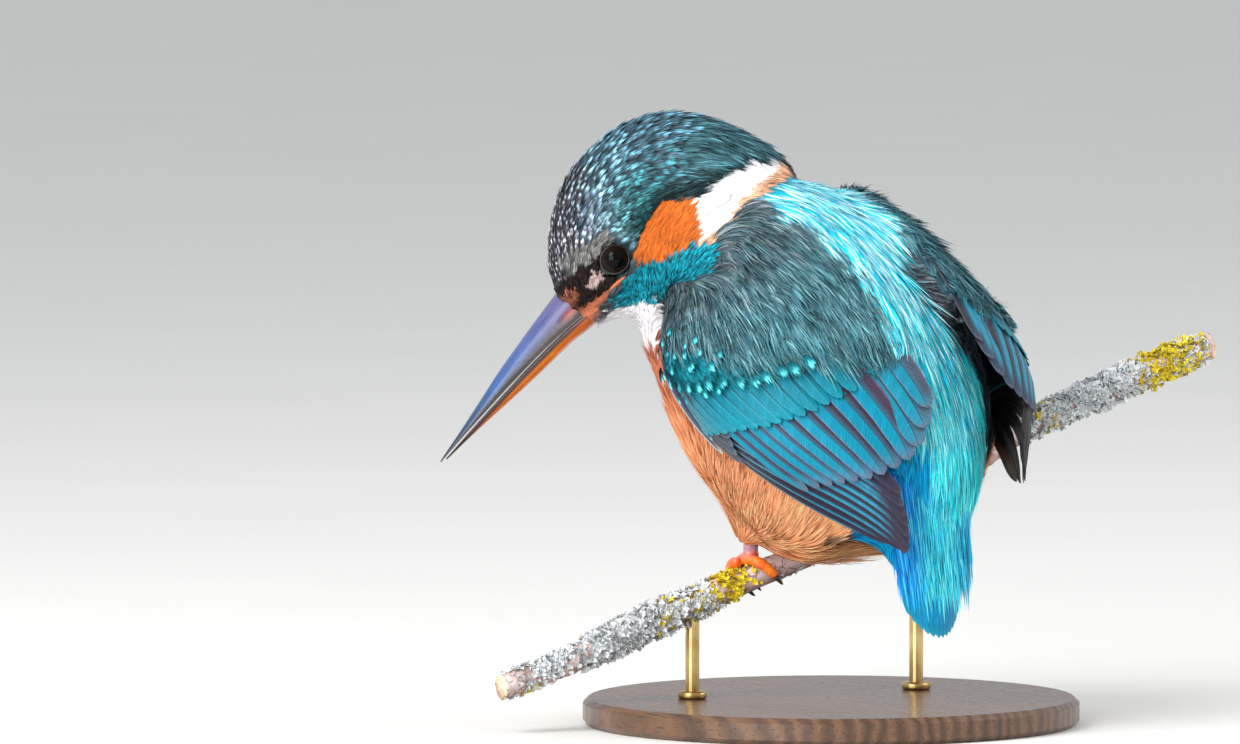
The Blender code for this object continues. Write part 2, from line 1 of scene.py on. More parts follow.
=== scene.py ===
"""Common kingfisher on a cut length of lichened branch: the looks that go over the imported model.

Points are kept in millimetres in the row frame as arrays of shape (n, 3), and turn into metres when a
mesh is made. The bird's frame only shifts the row frame. The head's frame has its first axis along the
bill, its second to the head's left and its third through the crown.
"""

import heapq
import logging
import math
from dataclasses import dataclass, field, replace
from enum import Enum
from typing import Callable, Sequence

import bmesh
import bpy
import numpy as np
from mathutils import Matrix, Vector
from mathutils.bvhtree import BVHTree
from mathutils.kdtree import KDTree

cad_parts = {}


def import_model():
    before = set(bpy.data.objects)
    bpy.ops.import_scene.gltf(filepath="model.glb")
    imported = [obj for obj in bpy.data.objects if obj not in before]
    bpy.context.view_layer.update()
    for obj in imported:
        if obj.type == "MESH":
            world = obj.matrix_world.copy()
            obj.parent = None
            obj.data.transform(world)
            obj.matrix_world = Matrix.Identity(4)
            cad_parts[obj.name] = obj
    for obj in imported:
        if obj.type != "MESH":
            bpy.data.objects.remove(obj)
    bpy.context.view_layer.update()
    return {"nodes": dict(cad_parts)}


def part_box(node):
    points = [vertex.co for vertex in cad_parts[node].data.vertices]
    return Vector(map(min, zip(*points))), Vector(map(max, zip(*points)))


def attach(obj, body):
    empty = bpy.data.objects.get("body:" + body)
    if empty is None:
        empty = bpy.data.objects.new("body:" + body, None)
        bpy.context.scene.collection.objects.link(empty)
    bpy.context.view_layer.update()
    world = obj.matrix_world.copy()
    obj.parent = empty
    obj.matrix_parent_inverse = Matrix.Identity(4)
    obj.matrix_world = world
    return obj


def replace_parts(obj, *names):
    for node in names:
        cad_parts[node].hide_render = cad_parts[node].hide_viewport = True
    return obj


MM = 0.001
BODY = "root"
LOG = logging.getLogger("kingfisher")
Array = np.ndarray
Piece = bpy.types.Object
Node = bpy.types.Node
Socket = bpy.types.NodeSocket
Tree = bpy.types.NodeTree
Colour = tuple[float, float, float]
Point = tuple[float, float]
Value = Socket | float | tuple[float, ...]

BIRD_ORIGIN = np.array((-8.0, -2.0, 30.0))
HEAD_TURN, HEAD_NOD = 130.0, 48.5
EYE_BACK, EYE_DROP = -0.4, -0.4
NECK_FROM, NECK_ALONG = np.array((-21.3, -16.0, 65.0)), np.array((0.644, 0.497, -0.58))
BRANCH_YAW = 15.0
BRANCH = [
    (-60.0, -21.5, 2.2), (-50.0, -18.5, 2.2), (-40.0, -14.7, 2.6), (-29.5, -10.4, 2.7), (-19.4, -6.7, 2.6),
    (-9.2, -3.0, 2.4), (0.5, 0.4, 2.4), (11.2, 4.3, 2.4), (22.0, 9.2, 2.5), (34.0, 15.6, 2.5),
    (48.0, 23.4, 2.3), (62.0, 28.8, 2.5), (72.6, 32.7, 2.7), (86.0, 37.1, 2.5),
]
WING = [
    ((-11.0, 19.0, 44.0), (-6.0, 23.5, 55.5), (3.0, 13.5, 68.5)),
    ((-6.5, 25.0, 35.5), (2.5, 28.8, 49.0), (14.0, 8.5, 67.0)),
    ((2.5, 27.5, 28.5), (14.0, 30.7, 41.8), (25.3, 6.2, 60.3)),
    ((12.5, 27.5, 22.0), (24.0, 30.0, 34.2), (35.2, 5.8, 49.2)),
    ((22.0, 25.0, 16.2), (32.0, 27.0, 26.5), (42.0, 6.2, 37.0)),
    ((30.0, 20.5, 11.0), (38.5, 21.5, 19.0), (45.8, 7.2, 26.3)),
    ((36.5, 16.3, 7.2), (42.6, 16.8, 12.2), (46.6, 9.2, 17.2)),
    ((41.2, 13.6, 4.8), (44.6, 13.6, 7.2), (46.4, 10.8, 10.2)),
    ((43.6, 12.6, 3.4), (45.2, 12.4, 4.2), (46.2, 11.6, 5.2)),
]
SHOULDER, FAR_LIFT, FAR_SPREAD = np.array((-2.0, 22.0, 52.0)), -14.0, -3.0
RIDGE = [
    (-15.0, -15.0, 69.5), (-4.0, -10.0, 72.0), (8.5, -5.0, 70.5), (21.0, -1.5, 63.5), (31.5, 0.0, 53.0),
    (39.5, 0.0, 40.0), (43.8, 0.0, 28.0), (44.5, 0.0, 18.0), (43.3, 0.0, 10.0), (42.2, 0.0, 3.0),
    (41.0, 0.0, -6.0),
]
TAIL_ROOT, TAIL_TIP = np.array((41.5, -1.0, 7.0)), np.array((40.2, 0.9, -12.2))


# ---------------------------------------------------------------- arithmetic


def unit(vectors: Array) -> Array:
    """The vectors at length one."""
    return vectors / np.maximum(np.linalg.norm(vectors, axis=-1, keepdims=True), 1e-9)


def mixed(first: Array, second: Array, share: Array) -> Array:
    """Between two arrays of colours, by a share for each row."""
    return first + (second - first) * share[..., None]


def ramp(places: Array, stops: Sequence[tuple[float, Colour]]) -> Array:
    """Colours along a ramp.

    Args:
        places: where to read it.
        stops: (place, colour) pairs in rising order.

    Returns:
        An array with one colour for each place.
    """
    at = [stop[0] for stop in stops]
    return np.stack([np.interp(places, at, [stop[1][k] for stop in stops]) for k in range(3)], -1)


def step_up(values: Array, low: float, high: float) -> Array:
    """A smooth rise from 0 at low to 1 at high, or a fall where high is under low."""
    t = np.clip((values - low) / (high - low), 0.0, 1.0)
    return t * t * (3 - 2 * t)


def inside(outline: Sequence[Point], x: Array, y: Array) -> Array:
    """Which points lie inside a closed outline in the plane.

    Args:
        outline: its corners.
        x, y: the points.

    Returns:
        Whether each point is inside.
    """
    found = np.zeros(x.shape, bool)
    corners = list(outline)
    for (x0, y0), (x1, y1) in zip(corners, corners[1:] + corners[:1]):
        crosses = (y0 > y) != (y1 > y)
        with np.errstate(divide="ignore", invalid="ignore"):
            found ^= crosses & (x < (x1 - x0) * (y - y0) / (y1 - y0 + 1e-12) + x0)
    return found


def spline_weights(t: Array) -> list[Array]:
    """The Catmull-Rom weights of four neighbouring rows."""
    return [
        (-t + 2 * t**2 - t**3) / 2,
        (2 - 5 * t**2 + 3 * t**3) / 2,
        (t + 4 * t**2 - 3 * t**3) / 2,
        (-(t**2) + t**3) / 2,
    ]


def spline(rows: Array, places: Array) -> Array:
    """Rows of values read along a smooth curve.

    Args:
        rows: the values at places 0, 1, 2 and so on.
        places: where to read them.

    Returns:
        One row of values for each place.
    """
    last = len(rows) - 1
    first = np.clip(np.floor(places).astype(int), 0, last - 1)
    weights = spline_weights(places - first)
    return sum(
        w.reshape(w.shape + (1,) * (rows.ndim - 1)) * rows[np.clip(first + k - 1, 0, last)]
        for k, w in enumerate(weights)
    )


@dataclass(frozen=True)
class Ripple:
    """A smooth random field: waves in random directions, from -1 to 1 or so."""

    seed: int
    size: float  # mm of its largest waves
    octaves: int = 3

    def __call__(self, points: Array) -> Array:
        """The field's value at each point.

        Args:
            points: places in millimetres.

        Returns:
            One value for each point.
        """
        random = np.random.default_rng(self.seed)
        total, reach = np.zeros(points.shape[:-1]), 0.0
        for octave in range(self.octaves):
            share = 0.55**octave
            for _ in range(6):
                pitch = math.tau / self.size * 2**octave
                way = unit(random.normal(size=3)) * (pitch * random.uniform(0.7, 1.4))
                total += share * np.sin(points @ way + random.uniform(0, math.tau))
            reach += share * 2.4
        return total / reach


# ---------------------------------------------------------------- frames and guide surfaces


@dataclass(frozen=True)
class Frames:
    """Where the bird and its head are in the row frame."""

    head_origin: Array
    head_axes: Array

    @classmethod
    def read(cls) -> "Frames":
        """The frames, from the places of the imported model's eyes and the head's turn and bow."""
        turn, nod = math.radians(HEAD_TURN), math.radians(HEAD_NOD)
        level = np.array((math.cos(turn), -math.sin(turn), 0.0))
        forward = level * math.cos(nod) - np.array((0, 0, math.sin(nod)))
        up = level * math.sin(nod) + np.array((0, 0, math.cos(nod)))
        axes = np.array((forward, np.cross(up, forward), up))
        eyes = [np.array(corner) for side in ("left", "right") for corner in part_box(f"eye_{side}")]
        middle = sum(eyes) / 4 / MM
        return cls(middle - axes[0] * EYE_BACK - axes[2] * EYE_DROP, axes)

    def to_head(self, points: Array) -> Array:
        """Points in the head's frame."""
        return (points - self.head_origin) @ self.head_axes.T

    def from_head(self, points: Array) -> Array:
        """Points of the head's frame, in the row frame."""
        return np.asarray(points, float) @ self.head_axes + self.head_origin

    def head_matrix(self) -> Matrix:
        """The head's frame in metres, for a piece that is modelled level and then put in place."""
        turned = Matrix([list(row) for row in self.head_axes.T.tolist()]).to_4x4()
        return Matrix.Translation(Vector(self.head_origin * MM)) @ turned


class Guide:
    """A smooth sheet that feathers lie on, with p along them and q across them."""

    outward = 1.0

    def at(self, p: Array, q: Array) -> Array:
        """Points of the sheet."""
        raise NotImplementedError

    def slopes(self, p: Array, q: Array) -> tuple[Array, Array]:
        """The ways in which the point moves along p and along q."""
        step = 0.004
        return (
            (self.at(p + step, q) - self.at(p - step, q)) / (2 * step),
            (self.at(p, q + step) - self.at(p, q - step)) / (2 * step),
        )

    def normal(self, p: Array, q: Array) -> Array:
        """The way out of the sheet."""
        along, across = self.slopes(p, q)
        return unit(np.cross(across, along)) * self.outward


class WingGuide(Guide):
    """The folded wing's sheet. q runs from its lower edge to its upper one."""

    def __init__(self, side: str) -> None:
        """Sets the wing on its side of the bird.

        Args:
            side: left or right.
        """
        rows = np.array(WING)
        if side == "left":
            rows[..., 1] *= -1
            self.outward = -1.0
        else:
            lift, spread = math.radians(FAR_LIFT), math.radians(FAR_SPREAD)
            tilt = np.array(
                ((math.cos(lift), 0, math.sin(lift)), (0, 1, 0), (-math.sin(lift), 0, math.cos(lift)))
            )
            open_ = np.array(
                ((math.cos(spread), -math.sin(spread), 0), (math.sin(spread), math.cos(spread), 0), (0, 0, 1))
            )
            rows = SHOULDER + (rows - SHOULDER) @ (open_ @ tilt).T
        self.rows = rows + BIRD_ORIGIN
        self.side = side

    def at(self, p: Array, q: Array) -> Array:
        """Points of the sheet.

        Args:
            p: places along it.
            q: places across it.

        Returns:
            One point for each place.
        """
        row = spline(self.rows, np.clip(p, -0.06, 1.06) * (len(WING) - 1))
        q = q[..., None]
        lower, middle, upper = (row[..., k, :] for k in range(3))
        return lower * ((1 - q) * (1 - 2 * q)) + middle * (4 * q * (1 - q)) + upper * (q * (2 * q - 1))


@dataclass
class TailGuide(Guide):
    """The shallow roof of the tail. q runs from its left edge, -1, to its right one, 1."""

    half: float = 8.6
    roof: float = 2.2
    outward = -1.0

    def at(self, p: Array, q: Array) -> Array:
        """Points of the sheet.

        Args:
            p: places along it.
            q: places across it.

        Returns:
            One point for each place.
        """
        down = TAIL_TIP - TAIL_ROOT
        back = unit(np.array((-down[2], 0.0, down[0])))
        p, q = p[..., None], q[..., None]
        sides = np.array((0.0, 1.0, 0.0)) * self.half * q
        return BIRD_ORIGIN + TAIL_ROOT + down * p + sides - back * (self.roof * q * q)


# ---------------------------------------------------------------- meshes


@dataclass
class Batch:
    """Points, faces and colours that become one joined mesh."""

    points: list[Array] = field(default_factory=list)
    faces: list[Array] = field(default_factory=list)
    tints: list[Array] = field(default_factory=list)
    bake: list[Array] = field(default_factory=list)
    weave: list[Array] = field(default_factory=list)
    count: int = 0
    triangles: int = 0

    def add(self, points: Array, faces: Sequence[Array], tints: Array, bake: Array, weave: Array) -> None:
        """Adds points and the faces between them.

        Args:
            points: (n, 3) in millimetres.
            faces: arrays of corner numbers, each of shape (m, 3) or (m, 4).
            tints: (n, 4) colours, with the gloss as the fourth value.
            bake: (n, 2) places on the piece's unwrap.
            weave: (n, 2) places across and along the feather, in millimetres.
        """
        self.points.append(points)
        self.tints.append(tints)
        self.bake.append(bake)
        self.weave.append(weave)
        for group in faces:
            self.faces.append(group + self.count)
            self.triangles += len(group) * (group.shape[1] - 2)
        self.count += len(points)

    def build(self, name: str, finish: "Finish", slot: str) -> Piece:
        """The batch as a dressed object that rides on the bird.

        Args:
            name: the object's name.
            finish: its finish.
            slot: not used; it is only passed on to dressed.

        Returns:
            The object.
        """
        mesh = bpy.data.meshes.new(name)
        points = np.concatenate(self.points) * MM
        corners = np.concatenate([group.ravel() for group in self.faces]).astype(np.int32)
        sizes = np.concatenate([np.full(len(group), group.shape[1]) for group in self.faces]).astype(np.int32)
        starts = np.concatenate(([0], np.cumsum(sizes)[:-1])).astype(np.int32)
        mesh.vertices.add(len(points))
        mesh.vertices.foreach_set("co", points.astype(np.float32).ravel())
        mesh.loops.add(len(corners))
        mesh.loops.foreach_set("vertex_index", corners)
        mesh.polygons.add(len(sizes))
        mesh.polygons.foreach_set("loop_start", starts)
        mesh.polygons.foreach_set("loop_total", sizes)
        mesh.update(calc_edges=True)
        tint = mesh.color_attributes.new("Tint", "FLOAT_COLOR", "POINT")
        tint.data.foreach_set("color", np.concatenate(self.tints).astype(np.float32).ravel())
        for layer, values in (("OFBake", self.bake), ("Barbs", self.weave)):
            flat = np.concatenate(values)[corners].astype(np.float32)
            mesh.uv_layers.new(name=layer).data.foreach_set("uv", flat.ravel())
        mesh.uv_layers.active_index = 0
        mesh.shade_smooth()
        obj = bpy.data.objects.new(name, mesh)
        bpy.context.scene.collection.objects.link(obj)
        return dressed(obj, finish, slot)


def dressed(obj: Piece, finish: "Finish", slot: str, *nodes: str) -> Piece:
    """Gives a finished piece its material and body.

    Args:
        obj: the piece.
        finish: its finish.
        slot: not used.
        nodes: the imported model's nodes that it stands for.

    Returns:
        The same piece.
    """
    obj.data.materials.clear()
    obj.data.materials.append(finish.material())
    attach(obj, BODY)
    if nodes:
        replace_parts(obj, *nodes)
    LOG.info("%s: %d faces", obj.name, len(obj.data.polygons))
    return obj


def deselected() -> None:
    """Leaves nothing selected."""
    if bpy.context.object and bpy.context.object.mode != "OBJECT":
        bpy.ops.object.mode_set(mode="OBJECT")
    bpy.ops.object.select_all(action="DESELECT")


def only(obj: Piece) -> Piece:
    """Makes an object the one that operators act on.

    Args:
        obj: the object.

    Returns:
        The same object.
    """
    deselected()
    bpy.context.view_layer.objects.active = obj
    obj.select_set(True)
    return obj


def shaped(obj: Piece, name: str, kind: str, **settings: str | float) -> None:
    """Gives the active piece one modifier and applies it.

    Args:
        obj: the piece.
        name: the modifier's name.
        kind: its type.
        settings: its own settings.
    """
    modifier = obj.modifiers.new(name, kind)
    for key, value in settings.items():
        setattr(modifier, key, value)
    bpy.ops.object.modifier_apply(modifier=name)


def moved(obj: Piece, points: Array) -> None:
    """Moves a piece's points to places in millimetres."""
    obj.data.vertices.foreach_set("co", (points * MM).astype(np.float32).ravel())
    obj.data.update()


def tube(name: str, rings: Array) -> Piece:
    """A tube that starts as a grid and is wrapped round, so that its rings pass through given points.

    Args:
        name: the object's name.
        rings: (rings, sides, 3) points in millimetres, each ring turning the same way.

    Returns:
        The object, with both ends filled.
    """
    count, sides = rings.shape[:2]
    deselected()
    bpy.ops.mesh.primitive_grid_add(x_subdivisions=sides, y_subdivisions=count - 1, size=1.0)
    obj = bpy.context.object
    obj.name = obj.data.name = name
    wrapped = np.concatenate((rings, rings[:, :1]), axis=1).reshape(-1, 3)
    moved(obj, wrapped)
    bpy.ops.object.mode_set(mode="EDIT")
    bpy.ops.mesh.select_all(action="SELECT")
    bpy.ops.mesh.remove_doubles(threshold=1e-7)
    bpy.ops.mesh.select_all(action="DESELECT")
    bpy.ops.mesh.select_mode(type="EDGE")
    bpy.ops.mesh.select_non_manifold(extend=False)
    bpy.ops.mesh.fill_holes(sides=0)
    bpy.ops.mesh.select_all(action="SELECT")
    bpy.ops.mesh.normals_make_consistent(inside=False)
    bpy.ops.object.mode_set(mode="OBJECT")
    obj.data.shade_smooth()
    return obj


def path_rings(path: Array, radii: Array, sides: int) -> Array:
    """Rings round a path.

    Args:
        path: (n, 3) centre points.
        radii: (n,) half widths.
        sides: points in each ring.

    Returns:
        (n, sides, 3) points.
    """
    ahead = unit(np.gradient(path, axis=0))
    guide = np.array((0.31, 0.17, 0.93))
    across = unit(np.cross(ahead, guide))
    over = np.cross(across, ahead)
    angles = np.arange(sides) * math.tau / sides
    ring = np.cos(angles)[None, :, None] * across[:, None] + np.sin(angles)[None, :, None] * over[:, None]
    return path[:, None] + ring * radii[:, None, None]


def tinted(obj: Piece, colours: Array) -> Piece:
    """Gives each point of a piece its own colour, and gloss as the fourth value.

    Args:
        obj: the piece.
        colours: (n, 4) colours and gloss.

    Returns:
        The same piece.
    """
    tint = obj.data.color_attributes.new("Tint", "FLOAT_COLOR", "POINT")
    tint.data.foreach_set("color", colours.astype(np.float32).ravel())
    return obj


def points_of(obj: Piece) -> Array:
    """A piece's points in millimetres.

    Args:
        obj: the piece.

    Returns:
        (n, 3) points.
    """
    flat = np.empty(len(obj.data.vertices) * 3, np.float32)
    obj.data.vertices.foreach_get("co", flat)
    return flat.reshape(-1, 3).astype(float) / MM


def normals_of(obj: Piece) -> Array:
    """The ways out of a piece at its points.

    Args:
        obj: the piece.

    Returns:
        (n, 3) directions.
    """
    flat = np.empty(len(obj.data.vertices) * 3, np.float32)
    obj.data.vertices.foreach_get("normal", flat)
    return flat.reshape(-1, 3).astype(float)


def with_gloss(colours: Array, gloss: Array | float) -> Array:
    """Colours with their gloss as a fourth value."""
    level = np.broadcast_to(np.asarray(gloss, float), colours.shape[:-1])
    return np.concatenate((colours, level[..., None]), -1)


# ---------------------------------------------------------------- finishes


class Nodes:
    """Adds nodes to a tree and joins them."""

    def __init__(self, tree: Tree) -> None:
        """Works on one tree."""
        self.tree = tree

    def feed(self, target: Socket, value: Value) -> None:
        """Joins a socket to an input, or sets the input's plain value."""
        if isinstance(value, Socket):
            self.tree.links.new(value, target)
        else:
            target.default_value = value

    def add(self, kind: str, inputs: dict[str | int, Value] | None = None, **settings: str | Tree) -> Node:
        """A new node.

        Args:
            kind: its type's name, without ShaderNode.
            inputs: values or output sockets for its inputs, by name or number.
            settings: its own settings.

        Returns:
            The node.
        """
        node = self.tree.nodes.new("ShaderNode" + kind)
        for key, value in settings.items():
            setattr(node, key, value)
        for key, value in (inputs or {}).items():
            self.feed(node.inputs[key], value)
        return node

    def place(self) -> Socket:
        """The place on the piece, in metres."""
        return self.add("TexCoord").outputs["Object"]

    def noise(self, where: Socket, scale: Value, detail: float = 2.0, rough: float = 0.5) -> Socket:
        """Soft random patches from 0 to 1."""
        inputs = {"Vector": where, "Scale": scale, "Detail": detail, "Roughness": rough}
        return self.add("TexNoise", inputs).outputs["Fac"]

    def cracks(self, where: Socket, scale: float) -> Socket:
        """Cells that fall to 0 at their borders."""
        inputs = {"Vector": where, "Scale": scale}
        return self.add("TexVoronoi", inputs, feature="DISTANCE_TO_EDGE").outputs["Distance"]

    def bump(self, height: Socket, strength: float, distance: float) -> Socket:
        """A normal that follows a height."""
        return self.add("Bump", {"Height": height, "Strength": strength, "Distance": distance}).outputs[0]

    def math(self, operation: str, *values: Value) -> Socket:
        """A Math node's result."""
        return self.add("Math", dict(enumerate(values)), operation=operation).outputs[0]

    def spread(self, value: Value, low: float, high: float, new_low: float, new_high: float) -> Socket:
        """A value moved from one range to another, and held inside it."""
        inputs = {"Value": value, "From Min": low, "From Max": high, "To Min": new_low, "To Max": new_high}
        return self.add("MapRange", inputs).outputs["Result"]

    def times(self, colour: Value, shade: Value) -> Socket:
        """A colour multiplied by another or by a shade."""
        return self.add(
            "Mix", {0: 1.0, 6: colour, 7: shade}, data_type="RGBA", blend_type="MULTIPLY",
        ).outputs[2]

    def ramp(self, value: Value, *stops: tuple[float, Colour]) -> Socket:
        """A colour ramp's colour.

        Args:
            value: where to read it.
            stops: (place, colour) pairs.

        Returns:
            The colour's socket.
        """
        node = self.add("ValToRGB", {"Fac": value})
        for place, colour in stops[2:]:
            node.color_ramp.elements.new(place)
        for element, (place, colour) in zip(node.color_ramp.elements, sorted(stops)):
            element.position, element.color = place, (*colour, 1.0)
        return node.outputs["Color"]

    def tint(self) -> Node:
        """The piece's own colours, with the gloss as their alpha."""
        return self.add("VertexColor", layer_name="Tint")

    def effect(self, group: Tree, **inputs: float) -> Node:
        """A shared effect with its own values."""
        return self.add("Group", inputs, node_tree=group)

    def join(self, shader: Node, **sockets: Value) -> None:
        """Feeds the shader's inputs; an underscore in a name stands for a space."""
        for key, value in sockets.items():
            self.feed(shader.inputs[key.replace("_", " ")], value)


Fill = Callable[[Nodes, bpy.types.NodeOutputs], list[Socket]]


def shared_effect(name: str, inputs: list[str], outputs: list[str], fill: Fill) -> Tree:
    """A node group that is built once.

    Args:
        name: the group's name.
        inputs: names of its number inputs.
        outputs: names of its number outputs.
        fill: takes the nodes and the input sockets, and returns the output sockets.

    Returns:
        The group.
    """
    found = bpy.data.node_groups.get(name)
    if found:
        return found
    group = bpy.data.node_groups.new(name, "ShaderNodeTree")
    for key in inputs:
        group.interface.new_socket(key, in_out="INPUT", socket_type="NodeSocketFloat")
    for key in outputs:
        group.interface.new_socket(key, in_out="OUTPUT", socket_type="NodeSocketFloat")
    entry, end = group.nodes.new("NodeGroupInput"), group.nodes.new("NodeGroupOutput")
    for key, socket in zip(outputs, fill(Nodes(group), entry.outputs)):
        group.links.new(socket, end.inputs[key])
    return group


def grain() -> Tree:
    """Fine random grain: a shade about 1 and a height, at a size in millimetres."""

    def fill(n: Nodes, given: bpy.types.NodeOutputs) -> list[Socket]:
        """One noise, as a shade and as a height.

        Args:
            n: the group's nodes.
            given: the group's inputs.

        Returns:
            The sockets for the group's outputs.
        """
        where = n.place()
        scale = n.math("DIVIDE", 1000.0, given["Size"])
        fine = n.noise(where, scale, 3.0)
        half = n.math("MULTIPLY", given["Depth"], 0.5)
        shade = n.math(
            "ADD", 1.0, n.math("MULTIPLY", n.math("SUBTRACT", fine, 0.5), n.math("MULTIPLY", half, 4.0)),
        )
        return [shade, fine]

    return shared_effect("Fine Grain", ["Size", "Depth"], ["Shade", "Height"], fill)


def barb_lines() -> Tree:
    """The fine barbs of a vane, which slant from its shaft: lines from 0 to 1."""

    def fill(n: Nodes, given: bpy.types.NodeOutputs) -> list[Socket]:
        """Waves over the places across and along the feather.

        Args:
            n: the group's nodes.
            given: the group's inputs.

        Returns:
            The sockets for the group's outputs.
        """
        split = n.add("SeparateXYZ", {0: n.add("UVMap", uv_map="Barbs").outputs[0]})
        lean = n.math("MULTIPLY", n.math("ABSOLUTE", split.outputs[0]), given["Lean"])
        place = n.math("SUBTRACT", split.outputs[1], lean)
        frayed = n.noise(n.add("UVMap", uv_map="Barbs").outputs[0], 1.7)
        wave = n.math(
            "SINE",
            n.math("MULTIPLY", n.math("ADD", place, frayed), n.math("DIVIDE", math.tau, given["Pitch"])),
        )
        along = n.add(
            "CombineXYZ", {0: n.math("MULTIPLY", place, 3.2), 1: n.math("MULTIPLY", split.outputs[0], 0.35)},
        )
        streak = n.noise(along.outputs[0], 1.0, 4.0)
        return [n.math("MULTIPLY_ADD", wave, 0.5, 0.5), streak]

    return shared_effect("Barb Lines", ["Pitch", "Lean"], ["Lines", "Streak"], fill)


@dataclass(frozen=True)
class Finish:
    """What a surface is made of. Each kind fills in its own nodes."""

    name: str

    def material(self) -> bpy.types.Material:
        """The finish as a material, built once."""
        found = bpy.data.materials.get(self.name)
        if found:
            return found
        made = bpy.data.materials.new(self.name)
        made.use_nodes = True
        shader = made.node_tree.nodes["Principled BSDF"]
        self.fill(Nodes(made.node_tree), shader)
        return made

    def fill(self, n: Nodes, shader: Node) -> None:
        """Adds this finish's nodes.

        Args:
            n: the material's nodes.
            shader: the material's shader.
        """
        raise NotImplementedError


@dataclass(frozen=True)
class Plumage(Finish):
    """Loose contour feathers: the piece's own colours, matt, and glossier where the feathers are."""

    matt: float = 0.62
    glossy: float = 0.22
    grain_size: float = 0.35
    depth: float = 0.22

    def fill(self, n: Nodes, shader: Node) -> None:
        """Colour from the feathers themselves, broken up by fine grain.

        Args:
            n: the material's nodes.
            shader: the material's shader.
        """
        tint = n.tint()
        fine = n.effect(grain(), Size=self.grain_size, Depth=self.depth)
        colour = n.times(tint.outputs["Color"], fine.outputs["Shade"])
        rough = n.spread(tint.outputs["Alpha"], 0.0, 1.0, self.matt, self.glossy)
        bump = n.bump(fine.outputs["Height"], 0.25, 0.0001)
        n.join(shader, Base_Color=colour, Roughness=rough, Normal=bump, Specular_IOR_Level=0.08)


@dataclass(frozen=True)
class Vanes(Finish):
    """Firm flight feathers and coverts: barbs that slant from the shaft, with a satin gloss."""

    pitch: float = 0.42
    lean: float = 1.1

    def fill(self, n: Nodes, shader: Node) -> None:
        """Colour, gloss and relief that follow the barbs.

        Args:
            n: the material's nodes.
            shader: the material's shader.
        """
        tint = n.tint()
        barbs = n.effect(barb_lines(), Pitch=self.pitch, Lean=self.lean)
        shade = n.spread(barbs.outputs["Lines"], 0.0, 1.0, 0.9, 1.06)
        streak = n.spread(barbs.outputs["Streak"], 0.3, 0.7, 0.78, 1.2)
        colour = n.times(tint.outputs["Color"], n.math("MULTIPLY", shade, streak))
        rough = n.math(
            "SUBTRACT", n.spread(barbs.outputs["Streak"], 0.3, 0.7, 0.5, 0.36),
            n.math("MULTIPLY", tint.outputs["Alpha"], 0.2),
        )
        bump = n.bump(barbs.outputs["Lines"], 0.35, 0.00008)
        n.join(
            shader, Base_Color=colour, Roughness=rough, Normal=bump, Sheen_Weight=0.03,
            Specular_IOR_Level=0.12,
        )


@dataclass(frozen=True)
class Horn(Finish):
    """Polished horn in the piece's own colours, with fine streaks and small scuffs."""

    roughness: float = 0.3
    coat: float = 0.35
    turn: tuple[float, float, float] = (0.0, 0.0, 0.0)

    def fill(self, n: Nodes, shader: Node) -> None:
        """Streaks along the horn's own length.

        Args:
            n: the material's nodes.
            shader: the material's shader.
        """
        tint = n.tint()
        where = n.place()
        turned = n.add("Mapping", {"Vector": where, "Rotation": self.turn}).outputs[0]
        long = n.add("Mapping", {"Vector": turned, "Scale": (90.0, 900.0, 900.0)}).outputs[0]
        streak = n.noise(long, 1.0, 4.0)
        scuff = n.noise(where, 1600.0, 5.0)
        shade = n.spread(streak, 0.3, 0.7, 0.74, 1.22)
        colour = n.times(tint.outputs["Color"], shade)
        rough = n.math(
            "ADD", n.spread(scuff, 0.35, 0.75, self.roughness - 0.07, self.roughness + 0.16),
            n.math("MULTIPLY", tint.outputs["Alpha"], -0.1),
        )
        both = n.math("ADD", streak, n.math("MULTIPLY", scuff, 0.4))
        bump = n.bump(both, 0.18, 0.0001)
        n.join(
            shader, Base_Color=colour, Roughness=rough, Normal=bump, Coat_Weight=self.coat,
            Coat_Roughness=0.12, Specular_IOR_Level=0.32,
        )


@dataclass(frozen=True)
class EyeGloss(Finish):
    """A wet eye in the piece's own near blacks."""

    def fill(self, n: Nodes, shader: Node) -> None:
        """A clear coat over fine grain.

        Args:
            n: the material's nodes.
            shader: the material's shader.
        """
        tint = n.tint()
        fine = n.effect(grain(), Size=0.25, Depth=0.5)
        colour = n.times(tint.outputs["Color"], fine.outputs["Shade"])
        rough = n.spread(fine.outputs["Height"], 0.3, 0.7, 0.03, 0.06)
        n.join(
            shader, Base_Color=colour, Roughness=rough, Coat_Weight=0.1, Coat_Roughness=0.02,
            Specular_IOR_Level=0.06,
        )


@dataclass(frozen=True)
class ScalySkin(Finish):
    """Bare skin in the piece's own colours, with small scutes."""

    scale_size: float = 0.55

    def fill(self, n: Nodes, shader: Node) -> None:
        """Cells that darken and sink at their borders.

        Args:
            n: the material's nodes.
            shader: the material's shader.
        """
        tint = n.tint()
        where = n.place()
        cells = n.cracks(where, 1000 / self.scale_size)
        edge = n.spread(cells, 0.0, 0.12, 0.0, 1.0)
        fine = n.effect(grain(), Size=0.3, Depth=0.25)
        shade = n.math("MULTIPLY", n.spread(edge, 0.0, 1.0, 0.72, 1.0), fine.outputs["Shade"])
        colour = n.times(tint.outputs["Color"], shade)
        bump = n.bump(edge, 0.35, 0.00012)
        rough = n.spread(edge, 0.0, 1.0, 0.6, 0.4)
        n.join(
            shader, Base_Color=colour, Roughness=rough, Normal=bump, Subsurface_Weight=0.12,
            Subsurface_Scale=0.0006, Specular_IOR_Level=0.45,
        )


